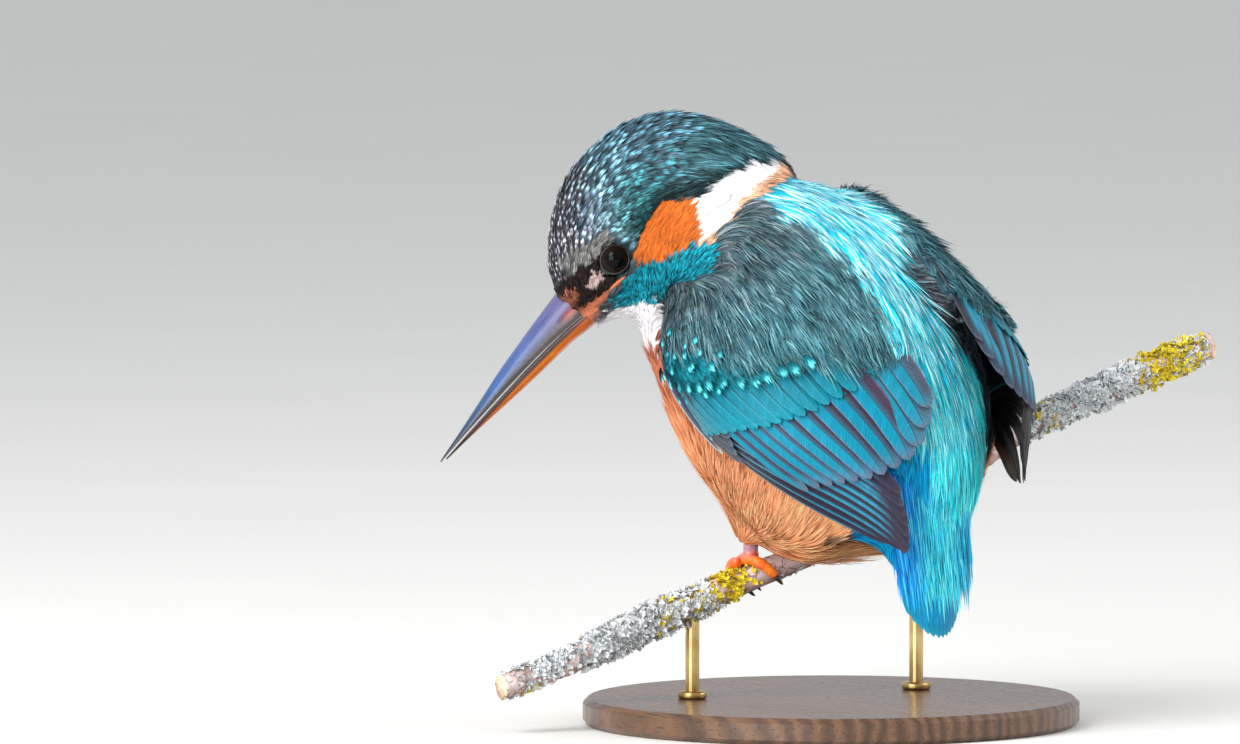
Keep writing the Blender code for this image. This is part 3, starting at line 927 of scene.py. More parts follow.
@dataclass(frozen=True)
class Bark(Finish):
    """Thin pale bark: pinkish grey, with a lilac bloom, dark specks and fine cracks."""

    def fill(self, n: Nodes, shader: Node) -> None:
        """Broad patches, cracks round and along the branch, and specks.

        Args:
            n: the material's nodes.
            shader: the material's shader.
        """
        tint = n.tint()
        where = n.place()
        broad = n.noise(where, 190.0, 5.0, 0.6)
        colour = n.ramp(
            broad, (0.3, (0.33, 0.24, 0.21)), (0.47, (0.58, 0.43, 0.40)), (0.58, (0.72, 0.56, 0.52)),
            (0.74, (0.62, 0.55, 0.60)),
        )
        cracks = n.cracks(where, 620.0)
        wander = n.noise(where, 420.0, 6.0)
        crack = n.spread(
            n.math("ADD", cracks, n.math("MULTIPLY", n.math("SUBTRACT", wander, 0.42), 0.5)), 0.0, 0.09, 0.0,
            1.0,
        )
        specks = n.noise(where, 1500.0, 2.0)
        speck = n.spread(specks, 0.62, 0.68, 1.0, 0.35)
        shade = n.math("MULTIPLY", n.spread(crack, 0.0, 1.0, 0.45, 1.0), speck)
        colour = n.times(colour, shade)
        colour = n.times(colour, tint.outputs["Color"])
        height = n.math("ADD", n.math("MULTIPLY", crack, 0.8), wander)
        bump = n.bump(height, 0.6, 0.0004)
        rough = n.spread(wander, 0.3, 0.7, 0.95, 0.78)
        n.join(shader, Base_Color=colour, Roughness=rough, Normal=bump, Specular_IOR_Level=0.25)


@dataclass(frozen=True)
class Lichen(Finish):
    """Leafy lichen in the piece's own colours: mealy, with paler rims."""

    def fill(self, n: Nodes, shader: Node) -> None:
        """Mealy grain and small warts.

        Args:
            n: the material's nodes.
            shader: the material's shader.
        """
        tint = n.tint()
        where = n.place()
        mealy = n.noise(where, 2600.0, 5.0, 0.7)
        warts = n.add("TexVoronoi", {"Vector": where, "Scale": 1900.0}).outputs["Distance"]
        shade = n.math(
            "MULTIPLY", n.spread(mealy, 0.3, 0.7, 0.72, 1.16), n.spread(warts, 0.1, 0.7, 1.06, 0.82),
        )
        colour = n.times(tint.outputs["Color"], shade)
        bump = n.bump(n.math("SUBTRACT", mealy, warts), 0.6, 0.0002)
        n.join(
            shader, Base_Color=colour, Roughness=n.spread(mealy, 0.3, 0.7, 0.95, 0.8), Normal=bump,
            Specular_IOR_Level=0.2,
        )


@dataclass(frozen=True)
class Walnut(Finish):
    """Satin stained walnut with growth bands and pores."""

    def fill(self, n: Nodes, shader: Node) -> None:
        """Bands bent by noise, and short dark pores along the grain.

        Args:
            n: the material's nodes.
            shader: the material's shader.
        """
        where = n.place()
        bent = n.add(
            "Mapping",
            {
                "Vector": where, "Location": (0.11, 0.02, 0.0), "Rotation": (0.0, 0.0, 0.35),
                "Scale": (10.0, 90.0, 60.0),
            },
        )
        warp = n.noise(bent.outputs[0], 0.9, 4.0)
        bands = n.add(
            "TexWave",
            {"Vector": bent.outputs[0], "Scale": 1.3, "Distortion": 6.0, "Detail": 3.0, "Detail Scale": 1.2},
            bands_direction="Y",
        ).outputs["Fac"]
        tone = n.math("MULTIPLY_ADD", bands, 0.55, n.math("MULTIPLY", warp, 0.45))
        colour = n.ramp(
            tone, (0.1, (0.050, 0.022, 0.011)), (0.5, (0.105, 0.048, 0.022)), (0.9, (0.165, 0.080, 0.038)),
        )
        fibre = n.add(
            "Mapping", {"Vector": where, "Rotation": (0.0, 0.0, 0.35), "Scale": (120.0, 2600.0, 2600.0)},
        ).outputs[0]
        pores = n.noise(fibre, 1.0, 2.0)
        pore = n.spread(pores, 0.34, 0.42, 0.45, 1.0)
        colour = n.times(colour, pore)
        fine = n.effect(grain(), Size=1.1, Depth=0.3)
        colour = n.times(colour, fine.outputs["Shade"])
        bump = n.bump(pore, 0.25, 0.0001)
        rough = n.spread(fine.outputs["Height"], 0.3, 0.7, 0.3, 0.42)
        n.join(shader, Base_Color=colour, Roughness=rough, Normal=bump, Coat_Weight=0.3, Coat_Roughness=0.2)


@dataclass(frozen=True)
class Brass(Finish):
    """Turned brass with fine rings, slightly tarnished."""

    def fill(self, n: Nodes, shader: Node) -> None:
        """Tarnish in patches, and turning marks.

        Args:
            n: the material's nodes.
            shader: the material's shader.
        """
        where = n.place()
        patches = n.noise(where, 120.0, 3.0)
        colour = n.ramp(patches, (0.35, (0.42, 0.27, 0.10)), (0.62, (0.80, 0.58, 0.26)))
        rings = n.add(
            "TexWave", {"Vector": where, "Scale": 1500.0, "Distortion": 1.5}, bands_direction="Z",
        ).outputs["Fac"]
        rough = n.math("ADD", n.spread(patches, 0.3, 0.7, 0.34, 0.2), n.math("MULTIPLY", rings, 0.04))
        bump = n.bump(rings, 0.05, 0.00003)
        n.join(shader, Base_Color=colour, Roughness=rough, Normal=bump, Metallic=1.0)


@dataclass(frozen=True)
class PaleFloor(Finish):
    """A plain pale studio floor."""

    def fill(self, n: Nodes, shader: Node) -> None:
        """Near white, with hardly visible unevenness.

        Args:
            n: the material's nodes.
            shader: the material's shader.
        """
        fine = n.effect(grain(), Size=60.0, Depth=0.02)
        colour = n.times((0.78, 0.77, 0.74, 1.0), fine.outputs["Shade"])
        n.join(shader, Base_Color=colour, Roughness=0.85, Specular_IOR_Level=0.2)


SOFT_PLUMAGE = Plumage("Soft plumage")
CROWN_PLUMAGE = Plumage("Crown plumage", matt=0.5, glossy=0.2, grain_size=0.25, depth=0.16)
FIRM_VANES = Vanes("Firm vanes")
UNDERSKIN = Plumage("Down over the skin", matt=0.85, glossy=0.6, grain_size=0.6, depth=0.5)
LICHEN = Lichen("Leafy lichen")
BARK = Bark("Pale bark")
WALNUT = Walnut("Stained walnut")
BRASS = Brass("Turned brass")
FOOT_SKIN = ScalySkin("Foot skin")
LID_SKIN = ScalySkin("Lid skin", scale_size=0.3)
EYE_GLOSS = EyeGloss("Wet eye")


# ---------------------------------------------------------------- how feathers grow


class Mark(Enum):
    """A marking that a loose feather may carry."""

    NONE = "none"
    SPOT = "spot"
    BAR = "bar"
    SHAFT = "shaft"


@dataclass(frozen=True)
class Tract:
    """The feathers of one part of the body: their size in millimetres, set and colours.

    Attributes:
        piece: the piece that they join.
        spacing, length, half: the distance between roots, and a feather's length and half width.
        barbs, stations: how many barbs a feather has, and how many places along each.
        blade, lift: a barb's half width, and the height of a feather's tip.
        root, middle, tip: the colours along it.
        ragged, vary, streak: how uneven its outline, its shade and its barbs' shades are.
        gloss, mark, marking: its gloss, its kind of marking and that marking's colour.
        depth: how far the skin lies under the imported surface.
        loose: the share of feathers that stand up a little.
    """

    piece: str
    spacing: float
    length: float
    half: float
    barbs: int
    blade: float
    lift: float
    root: Colour
    middle: Colour
    tip: Colour
    ragged: float = 0.15
    vary: float = 0.14
    streak: float = 0.12
    gloss: float = 0.1
    mark: Mark = Mark.NONE
    marking: Colour = (1.0, 1.0, 1.0)
    stations: int = 4
    depth: float = 1.0
    loose: float = 0.0


def blended(weights: Sequence[Array], rows: Array) -> Array:
    """Tufts' rows at root, middle and tip, added up by their weights at every place of every barb."""
    return sum(w[..., None] * rows[:, None, None, i] for i, w in enumerate(weights))


def edged(values: Array) -> Array:
    """Values along barbs, repeated for a barb's two edges but not for its tip."""
    return np.concatenate((np.repeat(values[:, :, :-1], 2, axis=2), values[:, :, -1:]), 2)


def grid_faces(rows: int, columns: int) -> Array:
    """The four-cornered faces of a grid of points."""
    index = np.arange(rows * columns).reshape(rows, columns)
    return np.stack((index[:-1, :-1], index[:-1, 1:], index[1:, 1:], index[1:, :-1]), -1).reshape(-1, 4)


def grow_tufts(batch: Batch, centre: Array, normal: Array, bake: Array, tract: Tract, seed: int,
               size: Array | None = None, marking: Array | None = None, shade: Array | None = None) -> None:
    """Adds one tuft of barbs for each root.

    Args:
        batch: the mesh that they join.
        centre: (n, 3, 3) points under each tuft's root, middle and tip.
        normal: (n, 3, 3) ways out of the skin there.
        bake: (n, 2) the roots' places on the skin's unwrap.
        tract: how they grow.
        seed: of what is random.
        size: (n,) sizes as a share of the tract's.
        marking: (n, 3) each tuft's own marking colour.
        shade: (n, 3) factors on each tuft's colours.
    """
    if not len(centre):
        return
    random = np.random.default_rng(seed)
    n, k, m = len(centre), tract.barbs, tract.stations
    size = np.ones(n) if size is None else size
    closed = 1 - 0.12 * random.random((n, 1))
    s = np.linspace(-1, 1, k)[None, :] * closed + random.normal(0, 0.35 / k, (n, k))
    reach = (1 - 0.3 * s**2) * (1 + tract.ragged * random.normal(0, 1, (n, k)))
    t = np.linspace(0, 1, m) ** 0.9
    tau = np.clip(t[None, None] * reach[..., None], 0, 1.25)
    weights = ((1 - tau) * (1 - 2 * tau), 4 * tau * (1 - tau), tau * (2 * tau - 1))
    line, out = blended(weights, centre), unit(blended(weights, normal))
    ahead = unit(blended((4 * tau - 3, 4 - 8 * tau, 4 * tau - 1), centre))
    side = unit(np.cross(ahead, out))
    fan = 0.3 + 0.7 * np.sin(np.minimum(1.0, tau / 0.65) * math.pi / 2)
    stray = tract.ragged * random.normal(0, 0.9, (n, k, 1)) * tau**2
    lateral = (tract.half * size)[:, None, None] * (s[..., None] * fan + stray)
    rise = tract.lift * size[:, None, None] * (0.12 + 0.88 * tau) * (1 - 0.3 * s[..., None] ** 2)
    uneven = 0.5 * tract.ragged * random.normal(0, 1, (n, k, 1))
    loose = random.random((n, 1, 1)) < tract.loose
    rise = rise * (1 + uneven + 0.7 * loose)
    place = line + side * lateral[..., None] + out * rise[..., None]
    roll = random.normal(0, 0.28, (n, k, 1, 1)) - 0.35 * s[..., None, None]
    across = side * np.cos(roll) + out * np.sin(roll)
    width = tract.blade * np.array([0.75 + 0.25 * math.sin(math.pi * u) for u in t]) * (1 - t**3) ** 0.7
    blade = across * (width[None, None] * size[:, None, None] ** 0.5)[..., None]
    pair = np.stack((place - blade, place + blade), 3)
    body = pair[:, :, :-1].reshape(n, k, 2 * (m - 1), 3)
    points = np.concatenate((body, place[:, :, -1:]), 2)
    each = points.shape[2]
    starts = (np.arange(n * k) * each)[:, None]
    quads = np.concatenate(
        [starts + np.array([[2 * i, 2 * i + 1, 2 * i + 3, 2 * i + 2]]) for i in range(m - 2)]
    )
    tips = starts + np.array([[2 * (m - 2), 2 * (m - 2) + 1, 2 * (m - 1)]])
    colour = ramp(tau, ((0.0, tract.root), (0.45, tract.middle), (1.0, tract.tip)))
    gloss = np.full(tau.shape, tract.gloss)
    where = np.broadcast_to(s[..., None], tau.shape)
    if tract.mark is not Mark.NONE:
        ink = np.broadcast_to(
            np.array(tract.marking) if marking is None else marking[:, None, None], colour.shape,
        )
        if tract.mark is Mark.SPOT:
            share = step_up(tau, 0.5, 0.62) * step_up(tau, 1.05, 0.9) * step_up(np.abs(where), 0.68, 0.42)
        elif tract.mark is Mark.BAR:
            share = step_up(tau, 0.5, 0.62) * step_up(tau, 0.92, 0.8)
        else:
            share = step_up(tau, 0.1, 0.4) * step_up(np.abs(where), 0.34, 0.12)
        colour = mixed(colour, ink, share)
        gloss = gloss + 0.5 * share
    by_feather = tract.vary * random.normal(0, 1, (n, 1, 1, 1))
    by_barb = tract.streak * random.normal(0, 1, (n, k, 1, 1))
    factor = 1 + by_feather + by_barb
    colour = colour * np.clip(factor, 0.35, 1.9)
    if shade is not None:
        colour = colour * shade[:, None, None]
    tint = edged(with_gloss(np.clip(colour, 0.0, 0.98), np.clip(gloss, 0, 1)))
    patch = edged(np.stack((tau, (where + 1) / 2), -1) * 0.003)
    patch[:, :, 1 : 2 * (m - 1) : 2, 1] += 0.0003
    uv = bake[:, None, None] + patch
    weave = edged(np.stack((where * tract.half, tau * tract.length), -1))
    batch.add(
        points.reshape(-1, 3), [quads, tips], tint.reshape(-1, 4), uv.reshape(-1, 2), weave.reshape(-1, 2),
    )


@dataclass(frozen=True)
class VanePaint:
    """The colours of a firm feather: its two webs, its far end, its rim and its shaft."""

    outer: Colour
    inner: Colour
    end: Colour
    rim: Colour
    shaft: Colour
    fade: tuple[float, float] = (0.7, 0.95)
    rim_width: float = 0.12
    border: Colour | None = None  # of the outer web's own edge
    border_span: tuple[float, float] = (-0.75, -0.5)
    shaft_width: float = 0.07
    gloss: float = 0.4

    def colours(self, s: Array, t: Array, random: np.random.Generator) -> Array:
        """The feather's colours.

        Args:
            s: places across it, from -1 at its outer edge to 1 at its inner one.
            t: places along it.
            random: for the small differences between feathers.

        Returns:
            One colour and gloss for each place.
        """
        colour = mixed(np.array(self.outer), np.array(self.inner), step_up(s, 0.0, 0.12))
        if self.border:
            colour = mixed(
                colour, np.array(self.border), step_up(s, self.border_span[1], self.border_span[0]),
            )
        colour = mixed(colour, np.array(self.end), step_up(t, *self.fade))
        edge = np.maximum(
            step_up(np.abs(s), 1 - self.rim_width, 1.0), step_up(t, 1 - self.rim_width * 0.6, 1.0),
        )
        colour = mixed(colour, np.array(self.rim), edge * 0.85)
        colour = mixed(
            colour, np.array(self.shaft), step_up(np.abs(s), self.shaft_width, self.shaft_width * 0.4),
        )
        colour = colour * (1 + random.normal(0, 0.06))
        return with_gloss(np.clip(colour, 0, 0.98), self.gloss)


@dataclass(frozen=True)
class Vane:
    """One firm feather on a guide: where its shaft runs, its widths and its height over the guide."""

    root: tuple[float, float]
    tip: tuple[float, float]
    outer: float
    inner: float
    rise: tuple[float, float]
    paint: VanePaint
    bow: float = 0.0
    tilt: float = 0.25
    crown: float = 0.12
    thickness: float = 0.07
    round_power: float = 7.0
    taper: float = 0.14

    def add(self, batch: Batch, guide: Guide, cell: tuple[float, float, float], seed: int) -> None:
        """Adds the feather as a thin closed lens.

        Args:
            batch: the mesh that it joins.
            guide: the sheet that it lies on.
            cell: the corner and size of its place on the piece's unwrap.
            seed: of what is random.
        """
        random = np.random.default_rng(seed)
        columns = np.array((-1.0, -0.86, -0.6, -0.3, -0.07, 0.0, 0.07, 0.4, 0.8, 1.0))
        t = 1 - (1 - np.linspace(0, 1, 15)) ** 1.35
        s, t2 = np.meshgrid(columns, t)
        p = self.root[0] + (self.tip[0] - self.root[0]) * t2
        q = self.root[1] + (self.tip[1] - self.root[1]) * t2 + self.bow * 4 * t2 * (1 - t2)
        _, across = guide.slopes(p, q)
        rate = np.maximum(np.linalg.norm(across, axis=-1), 3.0)
        outline = np.minimum(1.0, t2 / self.taper) ** 0.5 * np.sqrt(np.clip(1 - t2**self.round_power, 0, 1))
        fray = 1 + 0.025 * np.sin(t2 * 61 + seed) * (np.abs(s) > 0.95)
        width = np.where(s < 0, self.outer, self.inner) * outline * fray
        base = guide.at(p, q + s * width / rate)
        out = guide.normal(p, q)
        rise = self.rise[0] + (self.rise[1] - self.rise[0]) * t2
        rise = rise - self.tilt * s * np.sqrt(outline.clip(0, 1)) - self.crown * s**2
        lens = self.thickness * (1 - s**2) * (1 - 0.6 * t2) + 0.012
        top, under = base + out * (rise + lens)[..., None], base + out * (rise - lens)[..., None]
        quads = grid_faces(*s.shape)
        flipped = (quads + s.size)[:, (0, 3, 2, 1)]
        if guide.outward < 0:
            quads, flipped = quads[:, ::-1], flipped[:, ::-1]
        tint = self.paint.colours(s, t2, random).reshape(-1, 4)
        place = np.stack(
            (cell[0] + cell[2] * (s + 1) / 2.1, cell[1] + cell[2] * t2 / 1.05), -1,
        ).reshape(-1, 2)
        long = float(np.linalg.norm(base[-1, 5] - base[0, 5]))
        weave = np.stack((s * width, t2 * long), -1).reshape(-1, 2)
        batch.add(
            np.concatenate((top.reshape(-1, 3), under.reshape(-1, 3))), [quads, flipped],
            np.concatenate((tint, tint * (0.7, 0.7, 0.7, 1.0))), np.concatenate((place, place)),
            np.concatenate((weave, weave)),
        )


def add_vanes(batch: Batch, guide: Guide, vanes: Sequence[Vane], seed: int) -> None:
    """Adds several firm feathers, each with its own square of the piece's unwrap."""
    grid = math.ceil(math.sqrt(max(len(vanes), 1)))
    for number, vane in enumerate(vanes):
        cell = ((number % grid) / grid, (number // grid) / grid, 0.94 / grid)
        vane.add(batch, guide, cell, seed + number)


# ---------------------------------------------------------------- markings


class Part(Enum):
    """The parts of the plumage that grow or are coloured in their own way."""

    FOREHEAD = 0
    CROWN = 1
    NAPE = 2
    LORE = 3
    PALE_LORE = 4
    RUFOUS_LORE = 5
    BROW = 6
    EAR = 7
    MALAR = 8
    WHITE = 9
    BUFF = 10
    THROAT = 11
    NECK = 12
    MANTLE = 13
    SCAPULAR = 14
    COVERT = 15
    BREAST_EDGE = 16
    BREAST = 17
    BELLY = 18
    VENT = 19
    STRIPE = 20
    AZURE = 21
    RUMP = 22
    EYE = 23
    GAPE = 24


HEAD_PARTS = [part.value for part in Part if part.value < 12]
BARE = {Part.EYE: (0.02, 0.016, 0.016), Part.GAPE: (0.80, 0.24, 0.12)}


TRACTS = {
    Part.FOREHEAD: Tract(
        "crown_feathers", 0.86, 1.9, 0.5, 6, 0.13, 0.45, (0.02, 0.02, 0.024), (0.055, 0.052, 0.06),
        (0.04, 0.037, 0.045), 0.14, 0.25, 0.2, 0.12, Mark.SPOT, (0.66, 0.66, 0.76), 5, 0.55, 0.05,
    ),
    Part.CROWN: Tract(
        "crown_feathers", 1.25, 2.8, 0.76, 8, 0.18, 0.65, (0.018, 0.036, 0.044), (0.05, 0.09, 0.115),
        (0.05, 0.085, 0.11), 0.12, 0.25, 0.22, 0.1, Mark.SPOT, (0.12, 0.55, 0.60), 5, 0.8, 0.04,
    ),
    Part.NAPE: Tract(
        "crown_feathers", 1.2, 4.0, 0.9, 9, 0.12, 0.9, (0.02, 0.04, 0.045), (0.05, 0.12, 0.14),
        (0.05, 0.13, 0.15), 0.2, 0.24, 0.3, 0.08, Mark.SHAFT, (0.08, 0.24, 0.28), 5, 0.9, 0.08,
    ),
    Part.LORE: Tract(
        "face_feathers", 0.44, 1.2, 0.32, 5, 0.09, 0.3, (0.004, 0.003, 0.003), (0.014, 0.010, 0.010),
        (0.03, 0.02, 0.018), 0.2, 0.3, 0.3, 0.2, depth=0.45,
    ),
    Part.PALE_LORE: Tract(
        "face_feathers", 0.5, 1.0, 0.3, 5, 0.09, 0.3, (0.34, 0.25, 0.24), (0.50, 0.37, 0.35),
        (0.58, 0.44, 0.42), 0.16, 0.12, 0.15, depth=0.45,
    ),
    Part.RUFOUS_LORE: Tract(
        "face_feathers", 0.5, 1.0, 0.26, 4, 0.09, 0.35, (0.08, 0.03, 0.02), (0.26, 0.09, 0.05),
        (0.40, 0.16, 0.09), 0.25, 0.4, 0.3, depth=0.45,
    ),
    Part.BROW: Tract(
        "face_feathers", 0.5, 1.8, 0.36, 6, 0.09, 0.35, (0.05, 0.055, 0.055), (0.13, 0.135, 0.13),
        (0.28, 0.27, 0.26), 0.2, 0.35, 0.35, depth=0.5,
    ),
    Part.EAR: Tract(
        "neck_feathers", 0.62, 2.7, 0.44, 7, 0.08, 0.4, (0.30, 0.065, 0.014), (0.60, 0.13, 0.018),
        (0.70, 0.18, 0.03), 0.12, 0.08, 0.12, 0.08, depth=0.7,
    ),
    Part.MALAR: Tract(
        "neck_feathers", 0.85, 2.4, 0.55, 7, 0.11, 0.6, (0.008, 0.05, 0.06), (0.006, 0.16, 0.21),
        (0.008, 0.27, 0.36), 0.12, 0.2, 0.2, 0.3, Mark.BAR, (0.008, 0.33, 0.44), 5, 0.7,
    ),
    Part.WHITE: Tract(
        "neck_feathers", 0.6, 2.6, 0.6, 8, 0.13, 0.4, (0.90, 0.87, 0.90), (0.96, 0.94, 0.97),
        (0.97, 0.96, 0.98), 0.08, 0.01, 0.02, 0.05, depth=0.8,
    ),
    Part.BUFF: Tract(
        "neck_feathers", 0.75, 2.8, 0.55, 7, 0.11, 0.7, (0.50, 0.25, 0.15), (0.80, 0.47, 0.30),
        (0.84, 0.46, 0.26), 0.14, 0.12, 0.14, depth=0.8,
    ),
    Part.THROAT: Tract(
        "neck_feathers", 0.7, 2.6, 0.6, 7, 0.12, 0.45, (0.82, 0.79, 0.82), (0.93, 0.90, 0.94),
        (0.96, 0.94, 0.96), 0.1, 0.02, 0.03, depth=0.7,
    ),
    Part.NECK: Tract(
        "neck_feathers", 0.85, 3.0, 0.7, 8, 0.11, 0.7, (0.025, 0.032, 0.034), (0.055, 0.085, 0.095),
        (0.075, 0.13, 0.14), 0.2, 0.25, 0.3, depth=0.9,
    ),
    Part.MANTLE: Tract(
        "mantle_feathers", 1.2, 4.4, 1.3, 11, 0.10, 0.75, (0.035, 0.038, 0.044), (0.068, 0.08, 0.095),
        (0.11, 0.138, 0.158), 0.22, 0.2, 0.28, 0.03, Mark.SHAFT, (0.18, 0.24, 0.27), 5, 1.1, 0.05,
    ),
    Part.SCAPULAR: Tract(
        "mantle_feathers", 1.5, 6.4, 1.85, 14, 0.11, 1.5, (0.018, 0.042, 0.052), (0.042, 0.125, 0.155),
        (0.065, 0.21, 0.255), 0.2, 0.22, 0.26, 0.08, Mark.SHAFT, (0.14, 0.32, 0.35), 5, 1.1, 0.06,
    ),
    Part.COVERT: Tract(
        "mantle_feathers", 1.1, 2.3, 0.95, 8, 0.14, 0.3, (0.004, 0.06, 0.075), (0.006, 0.17, 0.22),
        (0.010, 0.24, 0.30), 0.12, 0.15, 0.16, 0.2, depth=0.6,
    ),
    # Darker tones: partly the duskier feathers at the breast's sides, partly painted shade where the breast
    # turns away beneath the wing.
    Part.BREAST_EDGE: Tract(
        "breast_feathers", 0.85, 4.6, 0.85, 8, 0.11, 0.9, (0.22, 0.12, 0.09), (0.42, 0.20, 0.12),
        (0.50, 0.26, 0.15), 0.16, 0.15, 0.2, depth=1.2,
    ),
    Part.BREAST: Tract(
        "breast_feathers", 1.0, 6.0, 1.1, 9, 0.12, 1.0, (0.48, 0.16, 0.07), (0.84, 0.31, 0.13),
        (0.94, 0.40, 0.18), 0.11, 0.1, 0.13, depth=1.4,
    ),
    Part.BELLY: Tract(
        "breast_feathers", 1.05, 7.4, 1.2, 10, 0.12, 1.3, (0.52, 0.19, 0.08), (0.90, 0.36, 0.15),
        (0.97, 0.50, 0.25), 0.13, 0.1, 0.14, depth=1.5,
    ),
    Part.VENT: Tract(
        "breast_feathers", 0.95, 5.8, 0.9, 8, 0.12, 1.3, (0.10, 0.07, 0.05), (0.34, 0.21, 0.13),
        (0.52, 0.34, 0.22), 0.3, 0.3, 0.4, depth=1.3,
    ),
    # Painted highlights: the stripe's near-white shafts stand for glints of light on its glossy feathers.
    Part.STRIPE: Tract(
        "back_feathers", 0.95, 7.6, 0.8, 9, 0.11, 1.2, (0.004, 0.22, 0.34), (0.010, 0.50, 0.70),
        (0.04, 0.72, 0.90), 0.16, 0.14, 0.26, 0.3, Mark.SHAFT, (0.70, 0.96, 0.98), 5, 1.2,
    ),
    Part.AZURE: Tract(
        "back_feathers", 0.95, 6.0, 0.8, 8, 0.12, 1.0, (0.002, 0.12, 0.28), (0.002, 0.28, 0.58),
        (0.003, 0.40, 0.74), 0.16, 0.14, 0.2, 0.3, depth=1.1,
    ),
    # Painted highlights: the rump's pale cyan shafts stand for glints of light on its glossy feathers.
    Part.RUMP: Tract(
        "back_feathers", 0.95, 7.6, 0.85, 9, 0.11, 1.1, (0.002, 0.34, 0.52), (0.004, 0.70, 0.92),
        (0.02, 0.86, 0.97), 0.16, 0.12, 0.26, 0.3, Mark.SHAFT, (0.22, 0.95, 0.98), 5, 1.1,
    ),
}

CROWN_EDGE = [
    (-40.0, -17.5), (-36.0, -15.0), (-33.6, -11.8), (-29.4, -7.2), (-24.0, -5.0), (-18.7, -3.4), (-14.4, 0.8),
    (-7.5, -0.4), (-3.6, -2.2), (2.0, -3.0), (16.0, -3.0),
]
EAR_PATCH = [
    (-2.4, -3.3), (-4.4, -1.4), (-8.6, 0.4), (-14.3, 0.9), (-18.6, -3.4), (-17.4, -5.6), (-13.2, -9.4),
    (-9.0, -8.2), (-5.2, -6.4),
]
WHITE_PATCH = [
    (-17.2, -5.6), (-18.6, -3.4), (-23.8, -4.8), (-29.0, -6.8), (-34.6, -11.8), (-34.6, -14.9),
    (-29.5, -12.9), (-24.0, -11.7), (-20.8, -12.6), (-14.7, -11.5), (-12.6, -9.6),
]
WHITE_CORE = [
    (-16.8, -5.6), (-18.6, -3.2), (-23.8, -4.6), (-29.0, -6.6), (-34.6, -11.6), (-33.0, -12.6),
    (-28.5, -11.0), (-24.0, -10.3), (-20.8, -11.3), (-16.0, -10.7), (-12.6, -9.4),
]
MALAR_PATCH = [
    (6.3, -4.9), (2.0, -4.6), (-2.4, -4.6), (-5.0, -6.2), (-7.6, -7.3), (-13.0, -9.6), (-15.9, -12.7),
    (-12.5, -14.8), (-9.3, -15.4), (-7.0, -12.8), (-5.1, -11.0), (-1.5, -12.2), (2.5, -9.9), (6.7, -6.2),
]
THROAT_PATCH = [
    (13.0, -4.6), (6.9, -6.1), (2.5, -9.9), (-0.8, -12.3), (0.5, -14.6), (5.0, -16.0), (7.9, -18.0),
    (12.0, -17.0), (15.0, -8.0),
]
LORE_PATCH = [(2.4, -4.4), (13.8, -3.2), (13.8, 3.2), (9.0, 3.4), (5.4, 3.4), (1.0, 2.0)]
WING_EDGE = [
    (-11.0, 44.0), (-6.5, 35.5), (2.5, 28.5), (12.5, 22.0), (22.0, 16.2), (30.0, 11.0), (36.5, 7.2),
    (44.0, 3.6),
]
SCAPULAR_EDGE = [
    (0.0, 0.06), (0.2, 0.10), (0.36, 0.18), (0.44, 0.235), (0.50, 0.31), (0.62, 0.38), (0.78, 0.43),
    (0.9, 0.455), (1.0, 0.455),
]


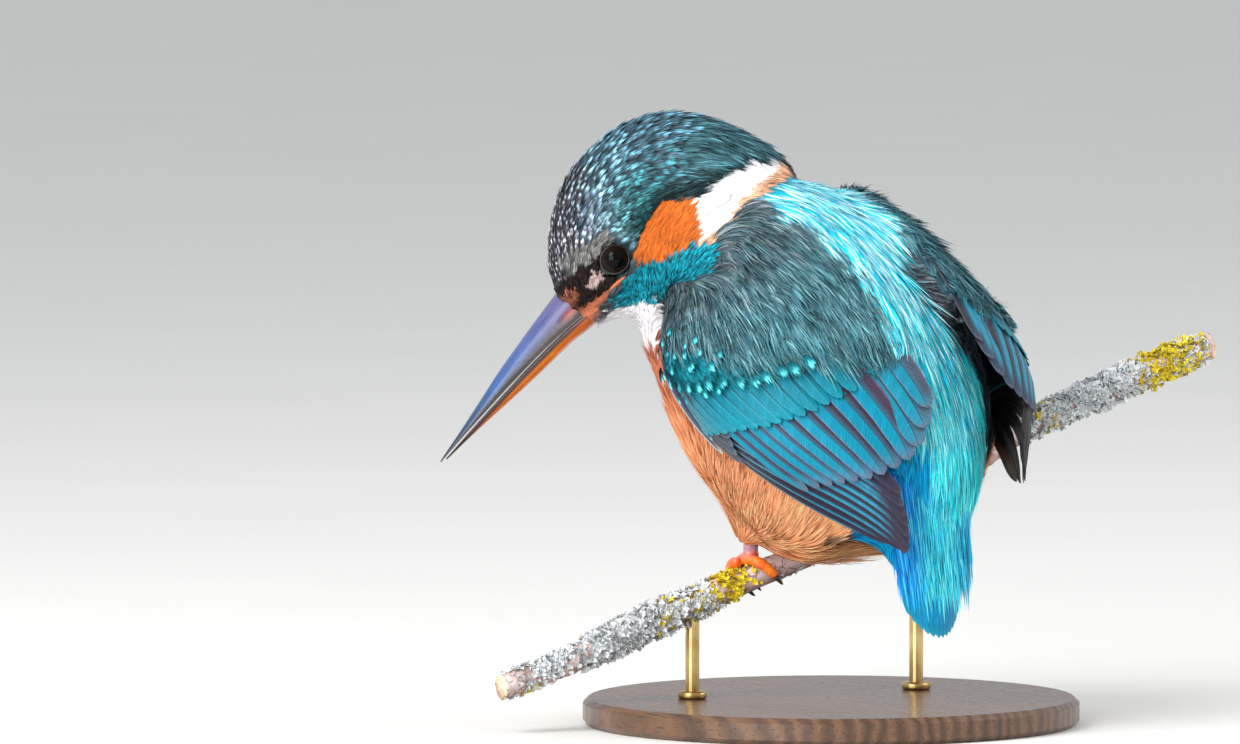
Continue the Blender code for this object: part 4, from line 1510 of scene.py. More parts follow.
@dataclass
class Markings:
    """Where each part of the plumage lies. Skin and coat both ask it."""

    frames: Frames
    wings: dict[str, WingGuide]

    def __post_init__(self) -> None:
        """Lays out the wings and the back's ridge to measure from."""
        self.ridge = spline(np.array(RIDGE), np.linspace(0, len(RIDGE) - 1, 90)) + BIRD_ORIGIN
        self.ridge_tree = self.tree(self.ridge)
        self.grid, points = [], []
        p, q = (a.ravel() for a in np.meshgrid(np.linspace(0, 0.62, 56), np.linspace(-0.02, 1.0, 52)))
        for side, wing in self.wings.items():
            points.append(wing.at(p, q))
            self.grid += [(side, *pair) for pair in zip(p.tolist(), q.tolist())]
        self.wing_tree = self.tree(np.concatenate(points))

    @staticmethod
    def tree(points: Array) -> KDTree:
        """Points to find the nearest of.

        Args:
            points: (n, 3) points.

        Returns:
            The tree.
        """
        tree = KDTree(len(points))
        for number, point in enumerate(points.tolist()):
            tree.insert(point, number)
        tree.balance()
        return tree

    def near_ridge(self, points: Array) -> tuple[Array, Array]:
        """How far points are from the back's ridge, negative to its left, and their places along it.

        Args:
            points: (n, 3) in the row frame.

        Returns:
            Distances, and places from 0 at its top to 1 at its end.
        """
        found = [self.ridge_tree.find(point) for point in points.tolist()]
        nearest = np.array([f[1] for f in found])
        side = np.sign(points[:, 1] - self.ridge[nearest, 1])
        return np.array([f[2] for f in found]) * side, nearest / (len(self.ridge) - 1)

    def stripe_reach(self, off: Array, down: Array) -> Array:
        """How far the bright stripe reaches from the ridge; far scapulars cover its right edge.

        Args:
            off: distances from the ridge, negative to its left.
            down: places along it.

        Returns:
            One reach for each place.
        """
        right = np.interp(down, (0.0, 0.1, 0.2, 0.25, 0.28, 0.33, 0.37, 0.43, 0.5, 0.6, 1.0),
                          (4.0, 7.5, 12.5, 10.0, 8.4, 6.0, 1.5, 4.6, 8.0, 9.0, 8.5))
        left = np.interp(
            down, (0.0, 0.1, 0.21, 0.31, 0.42, 0.48, 0.6, 1.0), (4.0, 7.0, 9.8, 10.0, 9.2, 8.5, 8.5, 8.5),
        )
        return np.where(off > 0, right, left)

    def near_wing(self, points: Array) -> tuple[Array, Array, Array]:
        """How far points are from the wings' sheets, and their p and q there.

        Args:
            points: (n, 3) in the row frame.

        Returns:
            Distances, p and q.
        """
        found = [self.wing_tree.find(point) for point in points.tolist()]
        at = [self.grid[f[1]] for f in found]
        return np.array([f[2] for f in found]), np.array([a[1] for a in at]), np.array([a[2] for a in at])

    def far_shoulder(self, points: Array) -> Array:
        """How far points belong to the far wing's shoulder, whose upper edge stands proud of the back.

        Args:
            points: (n, 3) in the row frame.

        Returns:
            Shares from 0 to 1.
        """
        off, p, q = self.near_wing(points)
        right = (points[:, 1] > BIRD_ORIGIN[1]) & (off < 5.0)
        return right * step_up(q, 0.55, 0.85) * step_up(p, 0.36, 0.26)

    def parts(self, points: Array, stray: float = 0.0, seed: int = 5) -> Array:
        """The part of the plumage at each point.

        Args:
            points: (n, 3) in the row frame.
            stray: how far, in millimetres, the borders are blurred.
            seed: of the blur.

        Returns:
            (n,) values of Part.
        """
        random = np.random.default_rng(seed)
        points = points + random.normal(0, 1, points.shape) * stray
        f, side, u = self.frames.to_head(points).T
        x, y, z = (points - BIRD_ORIGIN).T
        along_neck = (points - BIRD_ORIGIN - NECK_FROM) @ unit(NECK_ALONG)
        off_wing, p, q = self.near_wing(points)
        off_ridge, down_ridge = self.near_ridge(points)
        made = np.full(len(points), Part.MANTLE.value)

        def put(part: Part, where: Array) -> None:
            """Marks a part."""
            made[where] = part.value

        edge = np.interp(x, *zip(*WING_EDGE)) + np.where(y > 0, 0.25 * np.clip(x + 2, 0, 40), 0.0)
        front_edge = 47 - 0.75 * (x + 11)
        ventral = z < np.where(x < -11, front_edge, edge + 3.0)
        put(Part.BREAST, ventral)
        put(Part.BREAST_EDGE, ventral & (z > np.where(x < -11, front_edge, edge) - 7) & (z > 36))
        put(Part.BELLY, ventral & (z < 26))
        put(
            Part.VENT,
            ventral & (z < np.interp(x, (8.0, 14.0, 24.0, 31.0, 36.0), (-9.0, 2.5, 6.0, 8.0, -9.0))),
        )
        on_wing = (off_wing < 1.9) & (q < 0.985)
        put(Part.COVERT, on_wing)
        put(Part.SCAPULAR, on_wing & (p < np.interp(q, *zip(*SCAPULAR_EDGE))) & (p + 0.25 * q > 0.2))
        put(Part.MANTLE, on_wing & (p + 0.25 * q <= 0.2) & (p < np.interp(q, *zip(*SCAPULAR_EDGE))))
        reach = self.stripe_reach(off_ridge, down_ridge)
        put(Part.RUMP, (np.abs(off_ridge) < 13.5) & (z < 50) & (x > 24 + 0.3 * z) & ~on_wing)
        put(Part.AZURE, (off_ridge < -4.5) & (z < 30) & (x > 30) & ~on_wing)
        put(Part.STRIPE, (np.abs(off_ridge) < reach) & (z > 24))
        head = along_neck < 15.0
        above = u > np.interp(f, *zip(*CROWN_EDGE))
        put(Part.NECK, head & ~above)
        put(Part.NECK, ~head & (along_neck < 24) & (z > front_edge) & (x < -4) & (u < -12) & (f > -30))
        put(Part.CROWN, head & above)
        put(Part.NAPE, head & above & (f < -18.5 - 2.2 * (u - 2)))
        put(Part.FOREHEAD, head & above & (f > 1.0) | (head & above & (f > -9.0) & (np.abs(side) < 8.2)))
        put(
            Part.BROW,
            head & above & (f > -2.5) & (f < 8) & (u > 2.0) & (u < 5.0 + 0.15 * f) & (np.abs(side) > 5),
        )
        put(Part.NECK, on_wing & (p < 0.15) & (q > 0.4) & (q < 0.58))
        face = along_neck < 19.0
        put(Part.MALAR, face & inside(MALAR_PATCH, f, u))
        put(Part.THROAT, face & ~on_wing & inside(THROAT_PATCH, f, u))
        white = (along_neck < 20.5) & inside(WHITE_PATCH, f, u) & (np.abs(side) > 2)
        put(Part.BUFF, white)
        put(Part.WHITE, white & inside(WHITE_CORE, f, u))
        put(Part.EAR, head & inside(EAR_PATCH, f, u))
        put(Part.LORE, head & inside(LORE_PATCH, f, u))
        put(Part.PALE_LORE, head & (((f - 4.9) / 2.1) ** 2 + ((u + 0.3) / 1.25) ** 2 < 1))
        put(Part.RUFOUS_LORE, head & (((f - 10.6) / 1.9) ** 2 + ((u - 0.9) / 1.5) ** 2 < 1))
        put(Part.EYE, (np.hypot(f - EYE_BACK, u - EYE_DROP) < 2.95) & (np.abs(side) > 6) & head)
        near_gape = np.abs(u + 3.5 + 0.06 * (9.8 - f)) < 0.35 + 0.05 * np.clip(f, 0, 12)
        put(Part.GAPE, head & (f > 0.6) & (f < 13) & near_gape & (np.abs(side) > 3.6))
        return made


# ---------------------------------------------------------------- skin and coat


FLESH = ("head", "neck", "trunk", "wing_left_coverts", "wing_right_coverts")


@dataclass
class Skin:
    """The bird's one skin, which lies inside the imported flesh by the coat's depth."""

    markings: Markings
    voxel: float = 0.85
    closing: float = 0.45

    def build(self, nodes: dict[str, Piece]) -> Piece:
        """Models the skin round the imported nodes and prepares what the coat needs.

        Args:
            nodes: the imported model's nodes.

        Returns:
            The skin.
        """
        shape = bmesh.new()
        for name in FLESH:
            shape.from_mesh(nodes[name].data)
        bmesh.ops.remove_doubles(shape, verts=shape.verts, dist=1e-6)
        mesh = bpy.data.meshes.new("bird_skin")
        shape.to_mesh(mesh)
        shape.free()
        obj = bpy.data.objects.new("bird_skin", mesh)
        bpy.context.scene.collection.objects.link(obj)
        only(obj)
        shaped(obj, "Close gaps", "DISPLACE", strength=self.closing * MM, mid_level=0.0)
        shaped(obj, "One skin", "REMESH", mode="VOXEL", voxel_size=self.voxel * MM)
        shaped(obj, "Relax", "SMOOTH", factor=0.5, iterations=6)
        self.keep_outer(obj)
        points, normals = points_of(obj), normals_of(obj)
        parts = self.markings.parts(points)
        depth = np.array([TRACTS[Part(v)].depth if Part(v) in TRACTS else 0.35 for v in parts])
        edges = np.array([e.vertices[:] for e in obj.data.edges])
        shoulder = self.averaged(self.markings.far_shoulder(points)[:, None], edges, 6)
        points = points + (self.averaged(points, edges, 60) - points) * shoulder
        depth = self.averaged(depth[:, None], edges, 4)[:, 0] + self.closing
        moved(obj, points - normals * depth[:, None])
        shaped(obj, "Relax", "SMOOTH", factor=0.5, iterations=3)
        self.unwrap(obj)
        self.read(obj, edges)
        colours = np.array([TRACTS[Part(v)].middle if Part(v) in TRACTS else BARE[Part(v)] for v in parts])
        colours = self.averaged(colours, edges, 1) * 0.7
        tinted(obj, with_gloss(colours, 0.0))
        obj.data.shade_smooth()
        return dressed(obj, UNDERSKIN, "breast_feathers", *FLESH)

    @staticmethod
    def keep_outer(obj: Piece) -> None:
        """Deletes the small shells that remeshing leaves inside the body.

        Args:
            obj: the skin.
        """
        shape = bmesh.new()
        shape.from_mesh(obj.data)
        seen, islands = set(), []
        for vert in shape.verts:
            if vert in seen:
                continue
            island, queue = [], [vert]
            seen.add(vert)
            while queue:
                here = queue.pop()
                island.append(here)
                for edge in here.link_edges:
                    other = edge.other_vert(here)
                    if other not in seen:
                        seen.add(other)
                        queue.append(other)
            islands.append(island)
        islands.sort(key=len)
        bmesh.ops.delete(shape, geom=[v for island in islands[:-1] for v in island], context="VERTS")
        shape.to_mesh(obj.data)
        shape.free()

    @staticmethod
    def averaged(values: Array, edges: Array, rounds: int) -> Array:
        """Values smoothed over neighbouring points.

        Args:
            values: (n, k) values at the points.
            edges: (m, 2) pairs of neighbouring points.
            rounds: how often they are smoothed.

        Returns:
            The smoothed values.
        """
        degree = np.bincount(edges.ravel(), minlength=len(values))[:, None]
        for _ in range(rounds):
            total = values * 1.0
            np.add.at(total, edges[:, 0], values[edges[:, 1]])
            np.add.at(total, edges[:, 1], values[edges[:, 0]])
            values = total / (degree + 1)
        return values

    @staticmethod
    def unwrap(obj: Piece) -> None:
        """Unwraps the skin into the map that its coat shares.

        Args:
            obj: the skin.
        """
        only(obj)
        obj.data.uv_layers.new(name="OFBake")
        bpy.ops.object.mode_set(mode="EDIT")
        bpy.ops.mesh.select_all(action="SELECT")
        bpy.ops.uv.smart_project(angle_limit=math.radians(66), island_margin=0.004)
        bpy.ops.object.mode_set(mode="OBJECT")

    def read(self, obj: Piece, edges: Array) -> None:
        """Keeps the skin's points, triangles, unwrap and the lie of its feathers as arrays.

        Args:
            obj: the skin.
            edges: (m, 2) pairs of neighbouring points.
        """
        mesh = obj.data
        self.points, self.normals = points_of(obj), normals_of(obj)
        mesh.calc_loop_triangles()
        count = len(mesh.loop_triangles)
        corners, loops = np.empty(count * 3, np.int32), np.empty(count * 3, np.int32)
        mesh.loop_triangles.foreach_get("vertices", corners)
        mesh.loop_triangles.foreach_get("loops", loops)
        flat = np.empty(len(mesh.loops) * 2, np.float32)
        mesh.uv_layers["OFBake"].data.foreach_get("uv", flat)
        self.corners, self.places = corners.reshape(-1, 3), flat.reshape(-1, 2)[loops.reshape(-1, 3)]
        self.tree = BVHTree.FromPolygons(self.points.tolist(), self.corners.tolist())
        self.lie = self.lie_of_feathers(edges)

    def lie_of_feathers(self, edges: Array) -> Array:
        """The way that feathers point at each point of the skin: away from the bill, and along the wings.

        Args:
            edges: (m, 2) pairs of neighbouring points.

        Returns:
            (n, 3) directions.
        """
        f = self.markings.frames.to_head(self.points)[:, 0]
        lengths = np.linalg.norm(self.points[edges[:, 0]] - self.points[edges[:, 1]], axis=1)
        joined = [[] for _ in self.points]
        for (a, b), length in zip(edges.tolist(), lengths.tolist()):
            joined[a].append((b, length))
            joined[b].append((a, length))
        far = np.full(len(self.points), 1e9)
        queue = [(0.0, int(i)) for i in np.flatnonzero(f > f.max() - 2.5)]
        for _, i in queue:
            far[i] = 0.0
        while queue:
            here, i = heapq.heappop(queue)
            if here > far[i]:
                continue
            for j, length in joined[i]:
                if here + length < far[j]:
                    far[j] = here + length
                    heapq.heappush(queue, (here + length, j))
        far = self.averaged(np.minimum(far, 500)[:, None], edges, 6)[:, 0]
        step = self.points[edges[:, 1]] - self.points[edges[:, 0]]
        pull = step * ((far[edges[:, 1]] - far[edges[:, 0]]) / np.maximum(lengths, 1e-6) ** 2)[:, None]
        lie = np.zeros_like(self.points)
        np.add.at(lie, edges[:, 0], pull)
        np.add.at(lie, edges[:, 1], pull)
        lie = unit(lie)
        lie = self.over_back(self.over_wings(self.over_head(lie)))
        for _ in range(3):
            lie = unit(self.averaged(lie, edges, 4))
            lie = unit(lie - self.normals * np.sum(lie * self.normals, -1, keepdims=True))
        return lie

    def over_head(self, lie: Array) -> Array:
        """Turns the head's feathers: round over the crown, and straight back below it.

        Args:
            lie: (n, 3) the ways so far.

        Returns:
            The turned ways.
        """
        frames = self.markings.frames
        f, _, u = frames.to_head(self.points).T
        head = (self.points - BIRD_ORIGIN - NECK_FROM) @ unit(NECK_ALONG) < 18.5
        over = step_up(u - np.interp(f, *zip(*CROWN_EDGE)), -0.8, 1.2)[:, None]
        forward, _, up = frames.head_axes
        turning = unit((f + 2.0)[:, None] * up - (u + 12.0)[:, None] * forward)
        back = unit(0.3 * lie - 0.85 * forward - 0.15 * up)
        return np.where(head[:, None], unit(turning * over + back * (1 - over)), lie)

    def over_wings(self, lie: Array) -> Array:
        """Turns the scapulars out from the side of the neck, and the coverts along the wing.

        Args:
            lie: (n, 3) the ways so far.

        Returns:
            The turned ways.
        """
        off, p, q = self.markings.near_wing(self.points)
        off = off + 9.0 * np.isin(self.markings.parts(self.points, 0.0, 19), HEAD_PARTS)
        left = self.points[:, 1] < BIRD_ORIGIN[1]
        for side, wing in self.markings.wings.items():
            mine = (off < 3.0) & (left == (side == "left"))
            along, across = (unit(way) for way in wing.slopes(np.maximum(p[mine], 0.05), q[mine]))
            share = step_up(p[mine] - np.interp(q[mine], *zip(*SCAPULAR_EDGE)), 0.02, -0.05)
            spread = -share * (0.85 * (1 - q[mine]) + 0.35 * step_up(p[mine], 0.15, 0.0))
            lie[mine] = unit(lie[mine] * 0.15 + along + across * spread[:, None])
        return lie

    def over_back(self, lie: Array) -> Array:
        """Turns the bright stripe's feathers along the ridge of the back, a little outwards at its top.

        Args:
            lie: (n, 3) the ways so far.

        Returns:
            The turned ways.
        """
        off, down = self.markings.near_ridge(self.points)
        ridge = self.markings.ridge
        ahead = unit(np.gradient(ridge, axis=0))[np.rint(down * (len(ridge) - 1)).astype(int)]
        reach = self.markings.stripe_reach(off, down)
        share = step_up(np.abs(off), reach + 3.0, reach - 0.5) * step_up(down, 0.02, 0.08)
        height = self.points[:, 2] - BIRD_ORIGIN[2]
        lower = step_up(height, 48, 40) * (self.points[:, 0] > 24) * step_up(np.abs(off), 16, 11)
        share = np.maximum(share, lower)[:, None]
        outwards = off / 10 * np.interp(down, (0.1, 0.4, 1.0), (0.5, 0.1, 0.0))
        splay = np.array((0.0, 1.0, 0.0)) * outwards[:, None]
        return unit(lie * (1 - share) + unit(ahead + splay) * share)

    def scatter(self, spacing: Callable[[Array], Array], seed: int) -> tuple[Array, ...]:
        """Roots spread evenly over the skin.

        Args:
            spacing: gives the distance between roots at points.
            seed: of the random places.

        Returns:
            The roots' points, ways out, ways along, and places on the unwrap.
        """
        random = np.random.default_rng(seed)
        a, b, c = (self.points[self.corners[:, k]] for k in range(3))
        area = np.linalg.norm(np.cross(b - a, c - a), axis=1) / 2
        apart = spacing((a + b + c) / 3)
        wanted = np.where(apart > 0, 3.2 * area / np.maximum(apart, 0.2) ** 2, 0)
        number = random.poisson(wanted)
        face = np.repeat(np.arange(len(area)), number)
        r1, r2 = np.sqrt(random.random(len(face))), random.random(len(face))
        share = np.stack((1 - r1, r1 * (1 - r2), r1 * r2), -1)
        at = np.einsum("nk,nkd->nd", share, self.points[self.corners[face]])
        near = apart[face]
        tree = Markings.tree(at)
        kept, gone = [], np.zeros(len(at), bool)
        for i, point in enumerate(at.tolist()):
            if gone[i]:
                continue
            kept.append(i)
            for _, j, _ in tree.find_range(point, near[i] * 0.78):
                gone[j] = True
        face, share, at = face[kept], share[kept], at[kept]
        return self.details(face, share, at)

    def details(self, face: Array, share: Array, at: Array) -> tuple[Array, ...]:
        """The points with their ways out and along and their places on the unwrap.

        Args:
            face: the triangles that they lie in.
            share: (n, 3) weights of the corners.
            at: (n, 3) the points.

        Returns:
            The points, ways out, ways along and places.
        """
        corners = self.corners[face]
        out = unit(np.einsum("nk,nkd->nd", share, self.normals[corners]))
        along = unit(np.einsum("nk,nkd->nd", share, self.lie[corners]))
        place = np.einsum("nk,nkd->nd", share, self.places[face])
        return at, out, along, place

    def hit(self, starts: Array, ways: Array) -> tuple[Array, tuple[Array, ...]]:
        """Where lines from inside the body meet the skin.

        Args:
            starts: (n, 3) points.
            ways: (n, 3) directions.

        Returns:
            Which lines meet it, and the details of those points.
        """
        found, faces, shares, places = [], [], [], []
        for i, (start, way) in enumerate(zip(starts.tolist(), ways.tolist())):
            point, _, face, _ = self.tree.ray_cast(start, way)
            if point is None:
                continue
            corner = self.points[self.corners[face]]
            share = np.linalg.lstsq(
                np.vstack((corner.T, np.ones(3))), np.append(np.array(point), 1), rcond=None,
            )[0]
            found.append(i)
            faces.append(face)
            shares.append(share)
            places.append(np.array(point))
        return np.array(found), self.details(np.array(faces), np.array(shares), np.array(places))

    def follow(self, at: Array, out: Array, along: Array, length: Array) -> tuple[Array, Array]:
        """The middles and tips of feathers that lie along the skin.

        Args:
            at, out, along: the roots' points, ways out and ways along.
            length: (n,) of the feathers.

        Returns:
            (n, 3, 3) points and (n, 3, 3) ways out, at root, middle and tip.
        """
        points, normals = [at], [out]
        here, way = at, along
        for _ in range(2):
            target = here + way * (length / 2)[:, None]
            found = [self.tree.find_nearest(point) for point in target.tolist()]
            faces = self.corners[[f[2] for f in found]]
            here = np.array([f[0][:] for f in found])
            out = unit(self.normals[faces].mean(1))
            way = unit(self.lie[faces].mean(1) * 0.7 + way * 0.3)
            points.append(here)
            normals.append(out)
        return np.stack(points, 1), np.stack(normals, 1)


@dataclass
class Coat:
    """The loose feathers of head and body, gathered into pieces."""

    skin: Skin
    markings: Markings
    limit: int = 150_000  # triangles in a piece before the next one starts
    chunk: int = 400  # feathers that are grown at once
    crown_radius: float = 19.0
    batches: dict[str, list[Batch]] = field(default_factory=dict)

    def batch(self, piece: str) -> Batch:
        """The piece's mesh that still has room.

        Args:
            piece: the piece's name.

        Returns:
            The batch.
        """
        made = self.batches.setdefault(piece, [Batch()])
        if made[-1].triangles > self.limit:
            made.append(Batch())
        return made[-1]

    def build(self) -> None:
        """Grows every part of the coat and makes its pieces."""
        self.body()
        self.crown()
        slots = {
            "crown_feathers": "crown_feathers", "face_feathers": "crown_feathers",
            "neck_feathers": "neck_feathers", "breast_feathers": "breast_feathers",
            "mantle_feathers": "wing_feathers", "back_feathers": "tail_feathers",
        }
        for piece, batches in self.batches.items():
            for number, batch in enumerate(batches, 1):
                finish = CROWN_PLUMAGE if piece == "crown_feathers" else SOFT_PLUMAGE
                batch.build(f"{piece}_{number}", finish, slots[piece])

    def where_seen(self, at: Array, along: Array, seed: int) -> tuple[Array, Array]:
        """The parts that feathers are rooted in, and those that their middles lie over and show.

        Args:
            at: the roots.
            along: their ways along.
            seed: of the borders' blur.

        Returns:
            Two arrays with values of Part.
        """
        rooted = self.markings.parts(at)
        lengths = np.array([TRACTS[part].length if part in TRACTS else 0.0 for part in Part])
        return rooted, self.markings.parts(
            at + along * (0.5 * lengths[rooted])[:, None], stray=0.25, seed=seed,
        )

    def spacing(self, points: Array) -> Array:
        """The distance between roots, or 0 where the rows of the crown or nothing grows.

        Args:
            points: (n, 3) in the row frame.

        Returns:
            One distance for each point.
        """
        parts = self.markings.parts(points)
        apart = np.zeros(len(points))
        for part, tract in TRACTS.items():
            if part not in (Part.FOREHEAD, Part.CROWN):
                apart[parts == part.value] = tract.spacing
        _, p, q = self.markings.near_wing(points)
        apart[(parts == Part.COVERT.value) & (p > np.interp(q, *zip(*SCAPULAR_EDGE)) + 0.11)] = 0.0
        return apart

    def body(self) -> None:
        """Scattered feathers, everywhere but in the crown's rows."""
        at, out, along, place = self.skin.scatter(self.spacing, 11)
        rooted, parts = self.where_seen(at, along, 12)
        parts = np.where(np.isin(parts, (Part.CROWN.value, Part.FOREHEAD.value)), rooted, parts)
        order = np.argsort(parts, kind="stable")
        shade = self.shade(at)
        for part in np.unique(parts[order]):
            if Part(part) in (Part.EYE, Part.GAPE, Part.CROWN, Part.FOREHEAD):
                continue
            mine = np.flatnonzero((parts == part) & (rooted < Part.EYE.value))
            if Part(part) in (Part.WHITE, Part.THROAT):
                shade[mine] = 0.97 + 0.03 * shade[mine]
            elif Part(part) in (Part.BREAST_EDGE, Part.BREAST, Part.BELLY):
                # Painted shade and light: the breast is painted darker towards its top, where it turns away
                # beneath the chin and wing, and the lower belly brighter.
                height = (at[mine] - BIRD_ORIGIN)[:, 2]
                shade[mine] *= ramp(
                    height,
                    (
                        (8.0, (1.12, 1.18, 1.25)), (22.0, (0.84, 0.75, 0.78)), (34.0, (0.48, 0.37, 0.44)),
                        (46.0, (0.24, 0.17, 0.26)),
                    ),
                )
            elif Part(part) is Part.NAPE:
                shade[mine] *= self.crown_rim(at[mine])
            elif Part(part) is Part.RUMP:
                # Painted sheen: the lower rump is painted a deeper blue on the bird's left side only, as its
                # structural colour looks at this angle of light.
                _, side, height = (at[mine] - BIRD_ORIGIN).T
                deep = step_up(height, 30.0, 12.0) * step_up(side, 1.5, -4.5)
                shade[mine] *= mixed(np.ones(3), np.array((0.5, 0.60, 0.98)), deep)
            elif Part(part) in (Part.MANTLE, Part.SCAPULAR):
                place_p = self.markings.near_wing(at[mine])[1]
                grey = np.array((1.2, 0.68, 0.66) if Part(part) is Part.SCAPULAR else (0.9, 0.88, 0.88))
                shade[mine] *= mixed(grey, np.ones(3), step_up(place_p, 0.04, 0.30))
                shade[mine, 0] *= 1 + 0.25 * Ripple(23, 4.5)(at[mine])
            for chunk in np.array_split(mine, max(1, len(mine) // self.chunk)):
                ink = None
                # Painted highlights: the stripe's pale shafts, whitest at its top, stand for glints of light.
                if Part(part) is Part.STRIPE:
                    low = step_up(self.markings.near_ridge(at[chunk])[1], 0.25, 0.6)
                    ink = mixed(np.array((0.70, 0.96, 0.98)), np.array((0.34, 0.96, 0.98)), low)
                self.grow(
                    Part(part), at[chunk], out[chunk], along[chunk], place[chunk], shade[chunk],
                    100 + part + int(chunk[0]), ink,
                )

    def grow(self, part: Part, at: Array, out: Array, along: Array, place: Array, shade: Array, seed: int,
             marking: Array | None = None, size: Array | None = None) -> None:
        """Grows one part's feathers from their roots.

        Args:
            part: the part of the plumage.
            at, out, along, place: the roots' points, ways out and along, and places on the unwrap.
            shade: (n, 3) factors on their colours.
            seed: of what is random.
            marking: (n, 3) each feather's own marking colour.
            size: (n,) sizes as a share of the tract's.
        """
        tract = TRACTS[part]
        random = np.random.default_rng(seed)
        turn = random.normal(0, 0.08 + 0.5 * tract.ragged, len(at))[:, None]
        along = unit(along * np.cos(turn) + np.cross(out, along) * np.sin(turn))
        grown = random.uniform(0.82, 1.12, len(at)) if size is None else size
        if part is Part.BELLY:
            x, _, z = (at - BIRD_ORIGIN).T
            grown = grown * (1 + 0.8 * step_up(z, 8.0, 3.0) * step_up(x, -4.0, 1.0) * step_up(x, 20.0, 14.0))
        elif part is Part.MANTLE:
            grown = grown * (1 - 0.35 * self.markings.far_shoulder(at))
        centre, normal = self.skin.follow(at, out, along, tract.length * grown)
        grow_tufts(self.batch(tract.piece), centre, normal, place, tract, seed, grown, marking, shade)

    def shade(self, points: Array) -> Array:
        """Slow changes of colour over the body, in soft patches."""
        patches = 1 + 0.12 * Ripple(21, 9.0)(points) + 0.10 * Ripple(22, 3.2)(points)
        return np.repeat(patches[:, None], 3, axis=1)

    def crown_rim(self, points: Array) -> Array:
        """Darkens the crown's lower rim, above the ear.

        Args:
            points: (n, 3) in the row frame.

        Returns:
            (n, 1) factors.
        """
        f, _, u = self.markings.frames.to_head(points).T
        rise = u - np.interp(f, *zip(*CROWN_EDGE))
        return (1 - 0.80 * step_up(rise, 5.5, 2.0) * step_up(f, -1.0, -6.0))[:, None]

    def crown(self) -> None:
        """The crown's feathers in rows across the head, each with its pale spot."""
        frames = self.markings.frames
        random = np.random.default_rng(31)
        hub = np.array((-9.5, 0.0, -2.0))
        starts, ways, wide = [], [], []
        angle, row = -0.25, 0
        while angle < 3.4:
            gap = np.interp(angle, (0.2, 1.0, 2.0, 3.0), (0.85, 1.2, 1.6, 1.9))
            tilt = -1.35 + (row % 2) * gap * 0.035
            while tilt < 1.35:
                way = np.array(
                    (math.cos(angle) * math.cos(tilt), math.sin(tilt), math.sin(angle) * math.cos(tilt))
                )
                starts.append(frames.from_head(hub))
                ways.append(way @ frames.head_axes)
                wide.append(gap)
                tilt += np.interp(gap, (0.85, 1.6), (0.042, 0.10)) * random.uniform(0.85, 1.15)
            angle += gap / self.crown_radius
            row += 1
        starts, ways, wide = np.array(starts), np.array(ways), np.array(wide)
        ways = unit(ways + random.normal(0, 0.008, ways.shape))
        found, (at, out, along, place) = self.skin.hit(starts, ways)
        wide = wide[found]
        rooted, parts = self.where_seen(at, along, 32)
        parts[~np.isin(rooted, (Part.CROWN.value, Part.FOREHEAD.value))] = -1
        parts[parts == Part.NAPE.value] = Part.CROWN.value
        parts = np.where(np.isin(parts, (Part.BROW.value, Part.LORE.value, Part.EYE.value)), rooted, parts)
        f, side, u = frames.to_head(at).T
        for part in (Part.CROWN, Part.FOREHEAD):
            mine = np.flatnonzero(parts == part.value)
            share = np.clip((f[mine] + 20) / 20, 0, 1)
            middle = step_up(np.abs(side[mine]), 12.3, 8.8)
            ink = ramp(
                share,
                (
                    (0.0, (0.05, 0.20, 0.24)), (0.4, (0.05, 0.29, 0.32)), (0.8, (0.08, 0.37, 0.38)),
                    (1.0, (0.18, 0.40, 0.43)),
                ),
            )
            pale = ramp(
                share, ((0.0, (0.12, 0.36, 0.48)), (0.5, (0.24, 0.50, 0.64)), (1.0, (0.44, 0.54, 0.66))),
            )
            ink = mixed(ink, pale, middle)
            ink = mixed(ink, np.array((0.54, 0.53, 0.62)), step_up(f[mine], -1.0, 4.0))
            count = (len(mine), 1)
            ink = ink * random.choice((0.3, 0.8, 1.05, 1.3), count) * random.uniform(0.85, 1.15, count)
            size = np.interp(wide[mine], (0.9, 2.0), (0.85, 1.4)) * random.uniform(0.9, 1.1, len(mine))
            shade = self.shade(at[mine]) * self.crown_rim(at[mine])
            self.grow(part, at[mine], out[mine], along[mine], place[mine], shade, 33 + part.value, ink, size)


# ---------------------------------------------------------------- wings and tail


PLUM, LILAC, VIOLET = (0.05, 0.035, 0.06), (0.13, 0.13, 0.20), (0.036, 0.031, 0.055)
SECONDARY = VanePaint(
    (0.002, 0.21, 0.32), PLUM, (0.06, 0.18, 0.28), LILAC, (0.03, 0.07, 0.11), fade=(0.8, 1.0),
)
TERTIAL = VanePaint(
    (0.008, 0.22, 0.32), (0.06, 0.08, 0.12), (0.04, 0.20, 0.29), LILAC, (0.04, 0.04, 0.07), fade=(0.8, 1.0),
)
GREATER = VanePaint(
    (0.002, 0.17, 0.24), (0.01, 0.06, 0.10), (0.003, 0.20, 0.27), (0.015, 0.27, 0.34), (0.03, 0.28, 0.35),
    fade=(0.5, 1.0), rim_width=0.08, shaft_width=0.045, gloss=0.5,
)
ALULA = VanePaint(
    (0.34, 0.46, 0.46), (0.02, 0.03, 0.07), (0.28, 0.42, 0.45), (0.40, 0.52, 0.52), (0.02, 0.03, 0.06),
    fade=(0.9, 1.0), rim_width=0.05,
)
PRIMARY_COVERT = VanePaint(
    (0.04, 0.055, 0.08), (0.02, 0.02, 0.04), (0.06, 0.08, 0.11), (0.13, 0.15, 0.2), (0.02, 0.02, 0.03)
)
PRIMARY = VanePaint(
    (0.03, 0.03, 0.055), (0.028, 0.02, 0.038), VIOLET, (0.075, 0.065, 0.10), (0.015, 0.015, 0.026),
    fade=(0.66, 0.82), rim_width=0.1, border=(0.02, 0.24, 0.38), border_span=(-0.62, -0.42),
)
